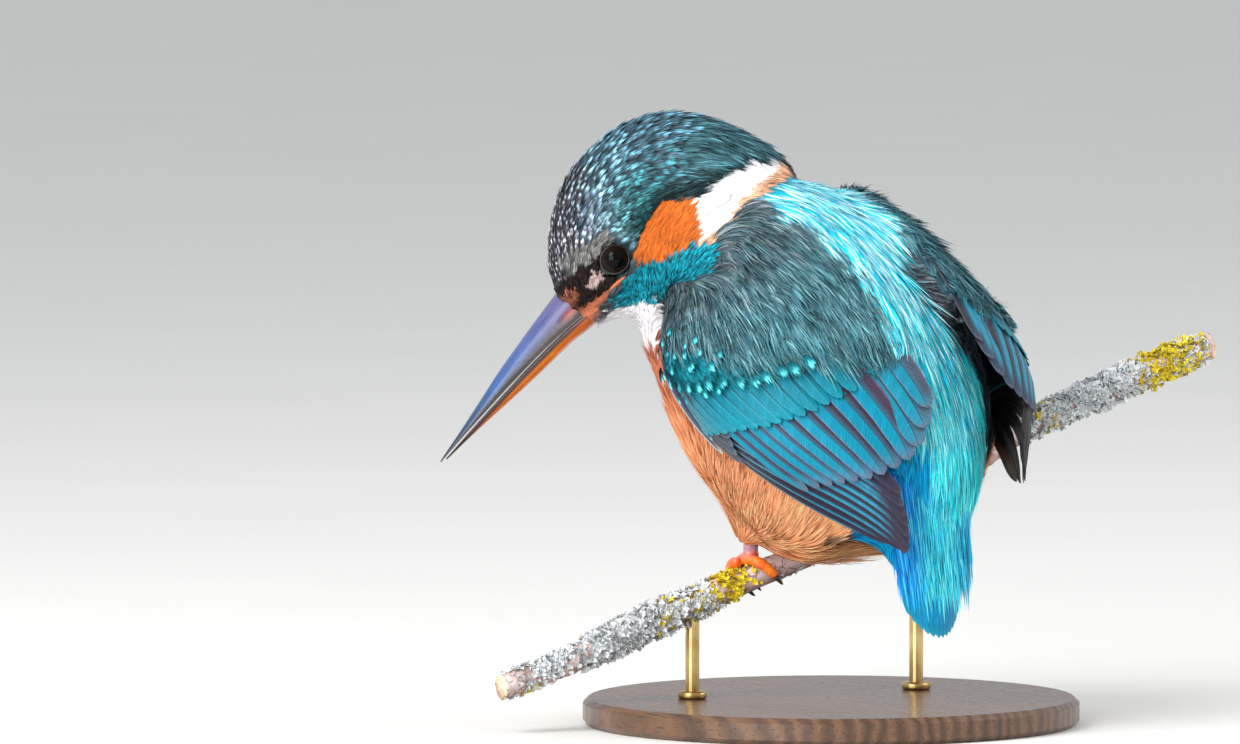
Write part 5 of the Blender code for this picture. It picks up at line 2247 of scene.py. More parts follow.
FAR_SECONDARY = VanePaint(
    (0.004, 0.24, 0.38), (0.015, 0.018, 0.03), (0.025, 0.05, 0.09), (0.10, 0.10, 0.15), (0.02, 0.04, 0.07),
    fade=(0.76, 0.95), rim_width=0.1,
)
FAR_PRIMARY = VanePaint(
    (0.014, 0.013, 0.018), (0.011, 0.010, 0.013), (0.011, 0.010, 0.013), (0.03, 0.026, 0.026),
    (0.22, 0.16, 0.11),
    fade=(0.5, 0.9), rim_width=0.06, border=(0.015, 0.08, 0.14), border_span=(-0.9, -0.7), shaft_width=0.05,
)
RECTRIX = VanePaint(
    (0.004, 0.30, 0.58), (0.004, 0.24, 0.50), (0.006, 0.22, 0.36), (0.02, 0.38, 0.56), (0.02, 0.12, 0.22),
    fade=(0.84, 1.0), rim_width=0.12, gloss=0.5,
)

SPOT_ROW = Tract(
    "wing_covert_spots", 2.0, 3.5, 0.95, 10, 0.16, 0.6, (0.005, 0.05, 0.06), (0.006, 0.15, 0.19),
    (0.010, 0.20, 0.25),
    0.08, 0.12, 0.12, 0.35, Mark.SPOT, (0.12, 0.68, 0.76), 5,
)


@dataclass
class Wing:
    """One folded wing: its rows of coverts and its flight feathers."""

    guide: WingGuide
    seed: int

    def build(self) -> None:
        """Models the wing's pieces."""
        side = self.guide.side
        groups = {
            "greater_coverts": (self.greater_coverts(), ()),
            "secondary_feathers": (self.secondaries(), (f"wing_{side}_secondaries",)),
            "primary_feathers": (self.primaries(), (f"wing_{side}_primaries",)),
        }
        for name, (vanes, nodes) in groups.items():
            batch = Batch()
            add_vanes(batch, self.guide, vanes, self.seed)
            made = batch.build(f"wing_{side}_{name}", FIRM_VANES, "wing_feathers")
            if nodes:
                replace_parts(made, *nodes)
        batch = Batch()
        self.spots(batch)
        batch.build(f"wing_{side}_covert_spots", CROWN_PLUMAGE, "wing_feathers")

    def greater_coverts(self) -> list[Vane]:
        """The greater coverts with the bend's edge feathers and the primary coverts."""
        made = []
        count = 15
        for i in range(count):
            k = i / (count - 1)
            q = 0.06 + 0.74 * k
            p_tip = float(np.interp(k, (0.0, 0.2, 0.5, 0.75, 1.0), (0.335, 0.385, 0.455, 0.485, 0.485)))
            made.append(
                Vane((0.13 + 0.2 * k, q - 0.03), (p_tip, q), 1.9, 1.4, (-0.5, 0.62), GREATER, tilt=0.14)
            )
        for i in range(5):
            root, tip = (0.25 - 0.004 * i, 0.03 + 0.035 * i), (0.43 - 0.012 * i, 0.05 + 0.045 * i)
            made.append(Vane(root, tip, 1.2, 1.6, (-0.1, 0.15), PRIMARY_COVERT))
        made.append(
            Vane(
                (0.09, 0.07), (0.375, 0.008), 0.8, 0.7, (0.4, 0.7), ALULA, tilt=0.3, bow=-0.012,
                round_power=4.0,
            )
        )
        dark = (0.02, 0.03, 0.07)
        made.append(
            Vane(
                (0.12, 0.105), (0.35, 0.045), 0.9, 0.8, (0.3, 0.55), replace(ALULA, outer=dark, rim=dark),
                tilt=0.2,
            )
        )
        return made

    def secondaries(self) -> list[Vane]:
        """The secondaries, and over them the broader tertials."""
        near = self.guide.side == "left"
        rows = [
            ((0.30, 0.24), (0.595, 0.215), 1.25), ((0.30, 0.30), (0.612, 0.30), 1.3),
            ((0.31, 0.36), (0.628, 0.385), 1.45),
            ((0.32, 0.42), (0.642, 0.465), 1.6), ((0.33, 0.49), (0.656, 0.545), 1.8),
            ((0.34, 0.565), (0.668, 0.635), 2.1),
            ((0.35, 0.64), (0.675, 0.725), 2.3), ((0.36, 0.715), (0.675, 0.815), 2.4),
            ((0.37, 0.79), (0.668, 0.895), 2.6),
            ((0.37, 0.85), (0.645, 0.95), 2.9), ((0.37, 0.89), (0.610, 0.985), 2.8),
            ((0.37, 0.92), (0.570, 1.005), 2.4),
        ]
        made = []
        for i, (root, tip, outer) in enumerate(rows):
            paint = (TERTIAL if i > 8 else SECONDARY) if near else FAR_SECONDARY
            start = -0.4 if i < 9 else -1.5
            wide = outer if near else outer * 0.7
            made.append(
                Vane(root, tip, wide, outer * 1.1, (start, 0.25 + 0.022 * i), paint, tilt=0.2 + 0.02 * outer)
            )
        return made

    def primaries(self) -> list[Vane]:
        """The primaries, which close to the wing's point; the far wing's are dark and part at their tips."""
        if self.guide.side == "left":
            rows = [
                ((0.34, 0.00), (0.86, 0.12), 1.0), ((0.34, 0.03), (0.93, 0.30), 1.1),
                ((0.34, 0.07), (0.985, 0.50), 1.15),
                ((0.34, 0.11), (0.99, 0.66), 1.2), ((0.34, 0.15), (0.955, 0.75), 1.25),
                ((0.35, 0.19), (0.91, 0.80), 1.3),
                ((0.36, 0.23), (0.865, 0.82), 1.3), ((0.37, 0.28), (0.825, 0.80), 1.35),
                ((0.38, 0.34), (0.785, 0.79), 1.4),
                ((0.40, 0.42), (0.745, 0.80), 1.4),
            ]
            return [
                Vane(root, tip, outer, outer * 1.35, (-0.75, -0.95 + 0.06 * i), PRIMARY,
                     bow=-0.035 if i < 6 else -0.02, tilt=0.22, round_power=4.5)
                for i, (root, tip, outer) in enumerate(rows)
            ]
        tips = [
            (0.90, 0.0), (0.945, 0.1), (0.975, 0.3), (0.985, 0.55), (0.965, 0.8), (0.93, 0.9), (0.89, 0.85),
            (0.85, 0.85), (0.80, 0.8),
        ]
        return [
            Vane(
                (0.34 + 0.008 * i, 0.04 * i), tip, 1.1, 1.5, (-0.75, -1.1 + 0.12 * i), FAR_PRIMARY, tilt=0.3,
                round_power=2.8,
            )
            for i, tip in enumerate(tips)
        ]

    def spots(self, batch: Batch) -> None:
        """The lesser and median coverts whose tips carry bright spots.

        Args:
            batch: the mesh that they join.
        """
        random = np.random.default_rng(self.seed + 7)
        rows = [(0.115, 0.20, 0.42, 3, 0.8), (0.165, 0.16, 0.50, 4, 0.9), (0.215, 0.10, 0.46, 4, 0.8)]
        p, q, size = [], [], []
        for start, low, high, count, scale in rows:
            for i in range(count):
                k = (i + 0.5 * random.random()) / count
                q.append(low + (high - low) * k)
                p.append(start + 0.12 * k + random.normal(0, 0.006))
                size.append(scale * random.uniform(0.8, 1.1))
        for start, across in (
            (0.135, 0.30), (0.14, 0.37), (0.18, 0.32), (0.19, 0.40), (0.20, 0.45), (0.225, 0.43),
            (0.23, 0.36), (0.26, 0.49),
        ):
            q.append(across)
            p.append(start)
            size.append(random.uniform(0.75, 0.95))
        for across in np.linspace(0.07, 0.72, 14):
            q.append(across + random.normal(0, 0.006))
            along = np.interp(
                across, (0.03, 0.14, 0.26, 0.34, 0.42, 0.48, 0.54, 0.72),
                (0.11, 0.165, 0.24, 0.275, 0.30, 0.335, 0.355, 0.38),
            )
            p.append(along + random.normal(0, 0.004))
            size.append(random.uniform(0.9, 1.15))
        p, q, size = (np.array(a) for a in (p, q, size))
        along, _ = self.guide.slopes(p, q)
        rate = np.linalg.norm(along, axis=-1)
        stations = [self.guide.at(p + SPOT_ROW.length * size * t / rate, q) for t in (0.0, 0.5, 1.0)]
        normals = [self.guide.normal(p + SPOT_ROW.length * size * t / rate, q) for t in (0.0, 0.5, 1.0)]
        lift = [0.7, 1.15, 1.1]
        centre = np.stack([s + n * h for s, n, h in zip(stations, normals, lift)], 1)
        place = np.stack((p, q), -1)
        grow_tufts(batch, centre, np.stack(normals, 1), place, SPOT_ROW, self.seed, size)


# Painted highlights: the tail coverts' pale cyan shafts stand for glints of light on their glossy feathers.
COVERTS = Tract(
    "tail_coverts", 1.1, 8.0, 0.95, 9, 0.12, 0.9, (0.004, 0.20, 0.38), (0.008, 0.42, 0.66),
    (0.03, 0.62, 0.84),
    0.16, 0.14, 0.28, 0.4, Mark.SHAFT, (0.16, 0.92, 0.98), 5,
)


@dataclass
class Tail:
    """The short closed tail: twelve feathers under the long coverts of the rump."""

    guide: TailGuide
    covert_reach: float = 0.42  # of the coverts, as a share of the tail

    def build(self) -> None:
        """Models the tail's feathers, the outer ones lowest, and its coverts."""
        vanes = []
        for pair in range(5, -1, -1):
            for sign in (-1.0, 1.0):
                q = sign * (0.06 + 0.135 * pair)
                end = 0.985 - 0.26 * (0.1 + 0.165 * pair) ** 2.2
                rise = (-0.1 - 0.14 * pair, 0.0 - 0.16 * pair)
                vanes.append(
                    Vane(
                        (-0.35, q), (end, q * 0.95), 1.9, 1.9, rise, RECTRIX, tilt=0.1 * sign,
                        round_power=5.0, taper=0.05,
                    )
                )
        batch = Batch()
        add_vanes(batch, self.guide, vanes, 400)
        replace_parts(batch.build("tail_vanes", FIRM_VANES, "tail_feathers"), "tail")
        batch = Batch()
        for row, start in enumerate(np.arange(-0.52, 0.34, 0.085)):
            self.coverts(batch, float(start), row)
        batch.build("tail_coverts", SOFT_PLUMAGE, "tail_feathers")

    def coverts(self, batch: Batch, start: float, row: int) -> None:
        """One row of long loose coverts over the roots of the tail's feathers.

        Args:
            batch: the mesh that they join.
            start: the row's place along the tail.
            row: its number.
        """
        random = np.random.default_rng(420 + row)
        q = np.linspace(-1.0, 1.0, 19) + (row % 2) * 0.05
        q = q[np.abs(q) < 1.05] + random.normal(0, 0.02, int(np.sum(np.abs(q) < 1.05)))
        p = start + random.normal(0, 0.02, len(q)) - 0.12 * np.abs(q) ** 2
        long = self.covert_reach * random.uniform(0.85, 1.1, len(q))
        stations = [(p + long * t, q * (1 - 0.08 * t)) for t in (0.0, 0.5, 1.0)]
        normals = np.stack([self.guide.normal(*at) for at in stations], 1)
        centre = np.stack([self.guide.at(*at) for at in stations], 1) + normals * 0.45
        place = np.stack(((q + 1.1) / 2.3, (p + 0.8) / 1.4), -1)
        # Deeper blue towards both edges is the coverts' own colour; the stronger deepening on the left is a
        # painted one-sided sheen of their structural colour.
        deep = step_up(np.abs(q), 0.25, 0.8) * np.where(q < 0, 1.0, 0.45)
        shade = mixed(np.ones(3), np.array((0.35, 0.52, 0.98)), deep)
        grow_tufts(
            batch, centre, normals, place, COVERTS, 440 + row, random.uniform(0.9, 1.1, len(q)), None, shade,
        )


# ---------------------------------------------------------------- head


UPPER_BILL = [
    (6.5, 3.6, -3.95, 5.3), (13.0, 3.15, -2.75, 4.35), (21.5, 2.4, -1.95, 3.5), (30.0, 1.5, -1.65, 2.7),
    (37.0, 0.4, -1.55, 1.9), (43.0, -0.5, -1.52, 1.2), (47.5, -1.1, -1.58, 0.6), (49.7, -1.45, -1.65, 0.25),
]
LOWER_BILL = [
    (6.5, -4.35, -6.4, 4.9), (12.4, -3.2, -5.9, 4.05), (17.0, -2.65, -5.1, 3.5), (24.7, -2.15, -4.5, 2.75),
    (31.2, -2.0, -3.85, 2.1), (37.0, -1.9, -3.2, 1.55), (43.0, -1.87, -2.6, 1.0), (48.6, -1.9, -2.15, 0.3),
]


@dataclass
class Bill:
    """The dagger bill in two horny halves, with its nostrils."""

    frames: Frames
    sides: int = 40
    stations: int = 90
    ridge: float = 0.78

    def half(self, name: str, rows: Sequence[tuple[float, ...]], upper: bool) -> Piece:
        """One half of the bill.

        Args:
            name: the piece's name.
            rows: places along it, upper and lower edges, and half widths.
            upper: whether it is the upper half.

        Returns:
            The piece, with its own colours.
        """
        values = spline(np.array(rows), np.linspace(0, len(rows) - 1, self.stations))
        angles = np.linspace(0, math.pi, self.sides - 7)
        rings = []
        for x, top, bottom, wide in values:
            flat, crest = (bottom, top) if upper else (top, bottom)
            arc = [(wide * math.cos(a), flat + (crest - flat) * math.sin(a) ** self.ridge) for a in angles]
            back = [(wide * (2 * i / 8 - 1) * 0.97, flat) for i in range(1, 8)]
            rings.append([(x, y, z) for y, z in arc + back])
        points = np.array(rings)
        if upper:
            points = self.nostrils(points)
        obj = tube(name, self.frames.from_head(points))
        local = self.frames.to_head(points_of(obj))
        tinted(obj, self.upper_colours(local) if upper else self.lower_colours(local))
        return obj

    @staticmethod
    def nostril_line(x: Array) -> Array:
        """The height at which the nostrils and their grooves run."""
        return -0.9 + 0.02 * (x - 12.6)

    def nostrils(self, points: Array) -> Array:
        """Presses a slit and its groove into each side.

        Args:
            points: (rings, sides, 3) in the head's frame.

        Returns:
            The pressed points.
        """
        x, y, z = points[..., 0], points[..., 1], points[..., 2]
        line = self.nostril_line(x)
        slit = np.exp(-(((x - 12.8) / 2.3) ** 4) - ((z - line) / 0.33) ** 2) * (np.abs(y) > 1.5)
        groove = np.exp(-(((x - 17.0) / 9.0) ** 4) - ((z - line - 0.15) / 0.6) ** 2) * (np.abs(y) > 1.2)
        points[..., 1] = y - np.sign(y) * (0.5 * slit + 0.14 * groove)
        return points

    @staticmethod
    def rise(rows: Sequence[tuple[float, ...]], x: Array, z: Array, least: float) -> Array:
        """How high points are in a half of the bill: 0 at its lower edge and 1 at its upper one.

        Args:
            rows: the half's rows.
            x: places along the bill.
            z: heights.
            least: the smallest depth to measure against.

        Returns:
            One share for each point.
        """
        along, upper, lower, _ = zip(*rows)
        low, high = np.interp(x, along, lower), np.interp(x, along, upper)
        return (z - low) / np.maximum(high - low, least)

    def upper_colours(self, at: Array) -> Array:
        """A painted reflection of the pale sky, steel-bluish and lilac, over the ridge; near black towards
        the cutting edge, with a painted pale glint right along it.

        Args:
            at: (n, 3) points in the head's frame.

        Returns:
            (n, 4) colours and gloss.
        """
        x, _, z = at.T
        rise = self.rise(UPPER_BILL, x, z, 0.3)
        # Painted reflection: the bluish and lilac band over the ridge stands for the pale sky mirrored in the
        # black horn.
        painted_sky_reflection = ramp(
            x,
            (
                (8.0, (0.14, 0.10, 0.20)), (18.0, (0.07, 0.085, 0.22)), (32.0, (0.035, 0.09, 0.24)),
                (40.0, (0.03, 0.06, 0.13)), (46.0, (0.02, 0.03, 0.06)),
            ),
        )
        dark = ramp(
            x,
            (
                (8.0, (0.10, 0.02, 0.015)), (14.0, (0.05, 0.022, 0.025)), (24.0, (0.018, 0.014, 0.02)),
                (50.0, (0.02, 0.016, 0.018)),
            ),
        )
        colour = mixed(dark, painted_sky_reflection, step_up(rise, 0.22, 0.52))
        line = self.nostril_line(x)
        red = np.exp(-(((x - 11.6) / 3.0) ** 4) - ((z - line) / 0.42) ** 2)
        colour = mixed(colour, np.array((0.42, 0.07, 0.03)), np.clip(red, 0, 0.95))
        base = step_up(x, 9.2, 7.0)
        colour = mixed(colour, np.array((0.22, 0.05, 0.03)), base * step_up(rise, 0.6, 0.3))
        # Painted glint: the pale grey line right along the cutting edge.
        colour = mixed(colour, np.array((0.16, 0.14, 0.13)), step_up(rise, 0.07, 0.02) * 0.8)
        return with_gloss(colour, step_up(rise, 0.2, 0.6))

    def lower_colours(self, at: Array) -> Array:
        """Reddish at the base, bright orange below, dark along the cutting edge and at the tip.

        Args:
            at: (n, 3) points in the head's frame.

        Returns:
            (n, 4) colours and gloss.
        """
        x, _, z = at.T
        rise = self.rise(LOWER_BILL, x, z, 0.25)
        orange = ramp(
            x,
            (
                (7.0, (0.42, 0.09, 0.04)), (12.0, (0.52, 0.11, 0.02)), (20.0, (0.74, 0.19, 0.012)),
                (36.0, (0.62, 0.14, 0.012)), (43.0, (0.16, 0.05, 0.03)), (49.0, (0.05, 0.03, 0.028)),
            ),
        )
        dark = ramp(x, ((7.0, (0.26, 0.06, 0.05)), (16.0, (0.07, 0.03, 0.03)), (50.0, (0.02, 0.014, 0.016))))
        edge = np.interp(x, (8.0, 16.0, 30.0, 44.0), (0.8, 0.66, 0.6, 0.35))
        return with_gloss(mixed(orange, dark, step_up(rise, edge - 0.1, edge + 0.08)), 0.5)

    def build(self) -> None:
        """Makes both halves."""
        turn = Matrix([list(row) for row in self.frames.head_axes.tolist()]).to_euler()
        horn = Horn("Bill horn", 0.27, 0.25, tuple(turn))
        dressed(self.half("bill_upper_horn", UPPER_BILL, True), horn, "bill_dark", "bill_upper")
        dressed(self.half("bill_lower_horn", LOWER_BILL, False), horn, "bill_orange", "bill_lower")


@dataclass
class Face:
    """Eyes, eyelids and the bare orange corners of the mouth."""

    frames: Frames
    skin: Skin
    radius: float = 3.05
    cornea: float = 0.22
    lid_radius: float = 2.62
    lid_half: float = 0.24

    def build(self) -> None:
        """Makes both sides."""
        for side, sign in (("left", 1.0), ("right", -1.0)):
            low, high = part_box(f"eye_{side}")
            middle = (np.array(low) + np.array(high)) / 2 / MM
            self.eye(side, sign, middle)
            self.lid(side, sign, middle)
            self.gape(side, sign)

    def placed(self, obj: Piece, middle: Array) -> Piece:
        """Turns a piece that was modelled about its own middle into the head's frame.

        Args:
            obj: the piece.
            middle: where its middle goes.

        Returns:
            The same piece.
        """
        turned = self.frames.head_matrix()
        turned.translation = Vector((middle * MM).tolist())
        obj.data.transform(turned)
        obj.data.update()
        return obj

    def eye(self, side: str, sign: float, middle: Array) -> None:
        """A round eye with a faint iris round a large pupil, bulged a little at the cornea.

        Args:
            side: left or right.
            sign: 1 on the left and -1 on the right.
            middle: the eye's middle.
        """
        deselected()
        bpy.ops.mesh.primitive_uv_sphere_add(segments=56, ring_count=32, radius=self.radius * MM)
        obj = bpy.context.object
        obj.name = obj.data.name = f"eye_{side}_ball"
        at = points_of(obj)
        out = at[:, 1] * sign / self.radius
        at[:, 1] += sign * self.cornea * step_up(out, 0.72, 1.0)
        moved(obj, at)
        colours = ramp(
            out,
            (
                (0.5, (0.010, 0.006, 0.004)), (0.74, (0.012, 0.006, 0.003)), (0.82, (0.006, 0.003, 0.002)),
                (0.88, (0.001, 0.001, 0.001)),
            ),
        )
        tinted(obj, with_gloss(colours, 1.0))
        obj.data.shade_smooth()
        dressed(self.placed(obj, middle), EYE_GLOSS, "eye", f"eye_{side}")

    def lid(self, side: str, sign: float, middle: Array) -> None:
        """A thin wrinkled lid round the eye, drawn out a little at its two corners.

        Args:
            side: left or right.
            sign: 1 on the left and -1 on the right.
            middle: the eye's middle.
        """
        deselected()
        bpy.ops.mesh.primitive_torus_add(
            major_segments=96, minor_segments=14, major_radius=self.lid_radius * MM,
            minor_radius=self.lid_half * MM,
        )
        obj = bpy.context.object
        obj.name = obj.data.name = f"eyelid_{side}"
        at = points_of(obj)
        angle = np.arctan2(at[:, 1], at[:, 0])
        near = np.hypot(at[:, 0], at[:, 1])
        corner = np.exp(-(((np.abs(np.cos(angle)) - 1) / 0.06) ** 2))
        far = near * (1 + 0.12 * corner * (near > self.lid_radius)) + 0.04 * np.sin(angle * 38) * (near > 2.6)
        up, along = far * np.sin(angle) * 0.97, far * np.cos(angle) * 1.03
        out = at[:, 2] * 1.1 + math.sqrt(self.radius**2 - self.lid_radius**2) + 0.06 - 0.12 * corner
        at = np.stack((along, sign * out, up), -1)
        moved(obj, at)
        shade = 0.75 + 0.35 * Ripple(61, 1.1)(at)
        inner = step_up(near, 2.72, 2.45)
        colours = mixed(
            np.array((0.03, 0.026, 0.028)) * shade[:, None], np.array((0.008, 0.007, 0.007)), inner,
        )
        tinted(obj, with_gloss(colours, 0.3))
        obj.data.shade_smooth()
        self.placed(obj, middle)
        self.outward(obj)
        dressed(obj, LID_SKIN, "crown_feathers")

    @staticmethod
    def outward(obj: Piece) -> None:
        """Turns the faces of a closed piece outwards.

        Args:
            obj: the piece.
        """
        only(obj)
        bpy.ops.object.mode_set(mode="EDIT")
        bpy.ops.mesh.select_all(action="SELECT")
        bpy.ops.mesh.normals_make_consistent(inside=False)
        bpy.ops.object.mode_set(mode="OBJECT")

    def gape(self, side: str, sign: float) -> None:
        """The fleshy orange line from the bill's corner to under the eye.

        Args:
            side: left or right.
            sign: 1 on the left and -1 on the right.
        """
        t = np.linspace(0, 1, 30)
        along, up = 11.6 - 10.8 * t, -3.3 - 0.6 * t + 0.15 * np.sin(math.pi * t)
        starts = self.frames.from_head(np.stack((along, 0 * t, up), -1))
        found, (at, _, _, _) = self.skin.hit(
            starts, np.repeat(self.frames.head_axes[1:2] * sign, len(t), axis=0),
        )
        found, at = found[found > 11], at[found > 11]
        wide = np.abs(self.frames.to_head(at)[:, 1])
        wide = np.polyval(np.polyfit(np.append(0.0, t[found]), np.append(4.2, wide), 2), t) + 0.25
        path = self.frames.from_head(np.stack((along, sign * wide, up), -1))
        radii = (0.46 + 0.3 * (1 - t) ** 2) * np.sqrt(np.clip(1 - (t - 0.45) ** 2 / 0.305, 0.03, 1))
        obj = tube(f"gape_{side}", path_rings(path, radii, 14))
        place = points_of(obj)
        shade = 1 + 0.15 * Ripple(63, 1.4)(place)
        colours = np.array((0.74, 0.21, 0.07)) * shade[:, None]
        tinted(obj, with_gloss(colours, 0.2))
        dressed(obj, LID_SKIN, "bill_orange")


# ---------------------------------------------------------------- feet


def branch_rows() -> Array:
    """Places along the branch, heights and half widths, in many small steps."""
    table = np.array(BRANCH)
    return spline(table, np.linspace(0, len(table) - 1, 400))


def branch_line(station: Array) -> tuple[Array, Array]:
    """Points of the branch's centre line and the way along it.

    Args:
        station: places along the branch.

    Returns:
        The points and the ways along.
    """
    dense = branch_rows()
    yaw = math.radians(BRANCH_YAW)
    level = np.array((math.sin(yaw), math.cos(yaw), 0.0))

    def at(s: Array) -> Array:
        """The centre at a station."""
        return BIRD_ORIGIN + level * s[..., None] + np.array((0, 0, 1.0)) * np.interp(
            s, dense[:, 0], dense[:, 1],
        )[..., None]

    return at(station), unit(at(station + 0.4) - at(station - 0.4))


TOES = ((-1, 100.0), (0, 122.0), (1, 108.0), (0, -100.0))


@dataclass
class Foot:
    """One foot that grips the branch: three toes over its front, one behind, scutes and claws."""

    side: str
    station: float
    lift: float = 3.7
    toe: float = 1.0
    spacing: float = 1.75
    slant: float = 3.2
    voxel: float = 0.16

    def path(self, place: int, first: float, last: float, count: int, lift: float) -> Array:
        """Points round the branch from one angle to another, in degrees from its top to its front.

        Args:
            place: the toe's place beside the middle one.
            first, last: the angles.
            count: how many points.
            lift: their distance from the centre line.

        Returns:
            (count, 3) points.
        """
        degrees = np.linspace(first, last, count)
        drift = self.slant * np.minimum(0.0, degrees) / -100.0
        here, along = branch_line(self.station + place * self.spacing + drift)
        front = unit(np.cross((0.0, 0.0, 1.0), along))
        front *= np.where(front[:, :1] > 0, -1.0, 1.0)
        over = unit(np.cross(along, front))
        over *= np.where(over[:, 2:] > 0, 1.0, -1.0)
        turn = np.radians(degrees)[:, None]
        return here + (front * np.sin(turn) + over * np.cos(turn)) * lift

    def build(self) -> None:
        """Models the toes and the shank as one skin, then the claws."""
        toes = []
        for place, sweep in TOES:
            path = self.path(place, -14.0 if sweep > 0 else 14.0, sweep, 60, self.lift)
            t = np.linspace(0, 1, 60)
            scutes = 1 + 0.06 * np.abs(np.sin(t * math.pi * 9)) + 0.10 * np.exp(-(((t - 0.55) / 0.07) ** 2))
            radii = self.toe * (1.06 - 0.2 * t) * scutes * np.sqrt(
                np.clip(1 - ((t - 0.5) / 0.51) ** 16, 0.02, 1)
            )
            toes.append(tube("toe", path_rings(path, radii, 16)))
        here, _ = branch_line(np.array([self.station]))
        rise = np.linspace(0, 1, 24)
        shank = here + np.stack((0.1 + 0.3 * rise, 0 * rise, 4.2 + 6.4 * rise), -1)
        toes.append(tube("shank", path_rings(shank, 1.35 * (1 + 0.05 * np.abs(np.sin(rise * 18))), 18)))
        obj = toes[0]
        only(obj)
        for other in toes[1:]:
            other.select_set(True)
        bpy.ops.object.join()
        obj.name = obj.data.name = f"foot_{self.side}_skin"
        shaped(obj, "One skin", "REMESH", mode="VOXEL", voxel_size=self.voxel * MM)
        shaped(obj, "Relax", "SMOOTH", factor=0.5, iterations=2)
        at = points_of(obj)
        tone = Ripple(71, 3.0)(at)
        height = (at - BIRD_ORIGIN)[:, 2] - 0.36 * (at - BIRD_ORIGIN)[:, 1]
        colours = mixed(
            np.array((0.95, 0.24, 0.012)), np.array((0.88, 0.13, 0.01)), np.clip(0.5 + tone, 0, 1),
        )
        colours = mixed(colours, np.array((0.40, 0.23, 0.32)), step_up(height, 4.3, 6.0) * 0.9)
        tinted(obj, with_gloss(colours, 0.2))
        obj.data.shade_smooth()
        dressed(obj, FOOT_SKIN, "foot_skin", f"foot_{self.side}", f"leg_{self.side}")
        self.claws()

    def claws(self) -> None:
        """Models the claws, which carry on round the branch from the toes."""
        for number, (place, sweep) in enumerate(TOES, 1):
            sign = math.copysign(1.0, sweep)
            path = self.path(place, sweep + sign * 3.0, sweep + sign * 52.0, 24, self.lift - 0.1)
            t = np.linspace(0, 1, 24)
            claw = tube(f"claw_{self.side}_{number}_horn", path_rings(path, 0.52 * (1 - t) ** 0.6 + 0.04, 12))
            place_along = np.clip(
                1.0 - 0.3 * np.arange(len(claw.data.vertices)) / len(claw.data.vertices), 0, 1,
            )
            tinted(claw, with_gloss(np.array((0.05, 0.035, 0.03)) * place_along[:, None], 0.6))
            dressed(claw, Horn("Claw horn", 0.3, 0.2), "claw", f"claw_{self.side}_{number}")


# ---------------------------------------------------------------- perch and stand


# Knots by their places along and round the branch and their heights.
KNOTS = (
    (-55, 2.2, 0.5), (-46.5, 0.4, 0.45), (-33, 3.6, 0.4), (17, 4.4, 0.35), (31, 1.0, 0.45), (42, 2.6, 0.5),
    (63, 5.0, 0.45), (80, 0.6, 0.4),
)
# Patches of lichen by their places along the branch, spreads, numbers of lobes and sizes.
GREY_PATCHES = (
    (-50.0, 7.0, 620, 0.95), (-38.0, 6.0, 800, 1.15), (-28.0, 5.5, 800, 1.3), (-20.0, 3.5, 420, 1.15),
    (4.0, 6.0, 150, 0.55), (22.0, 5.0, 60, 0.8), (53.0, 5.0, 600, 1.1), (61.0, 5.0, 640, 1.2),
    (68.0, 4.0, 400, 1.1), (80.0, 5.0, 360, 1.0),
)
YELLOW_PATCHES = (
    (-26.5, 2.2, 130, 1.15), (-19.0, 1.5, 60, 1.0), (-13.5, 2.0, 230, 1.1), (-56.0, 2.0, 40, 0.9),
    (51.0, 1.5, 60, 1.1), (73.0, 2.6, 220, 1.2), (79.5, 3.2, 240, 1.2),
)


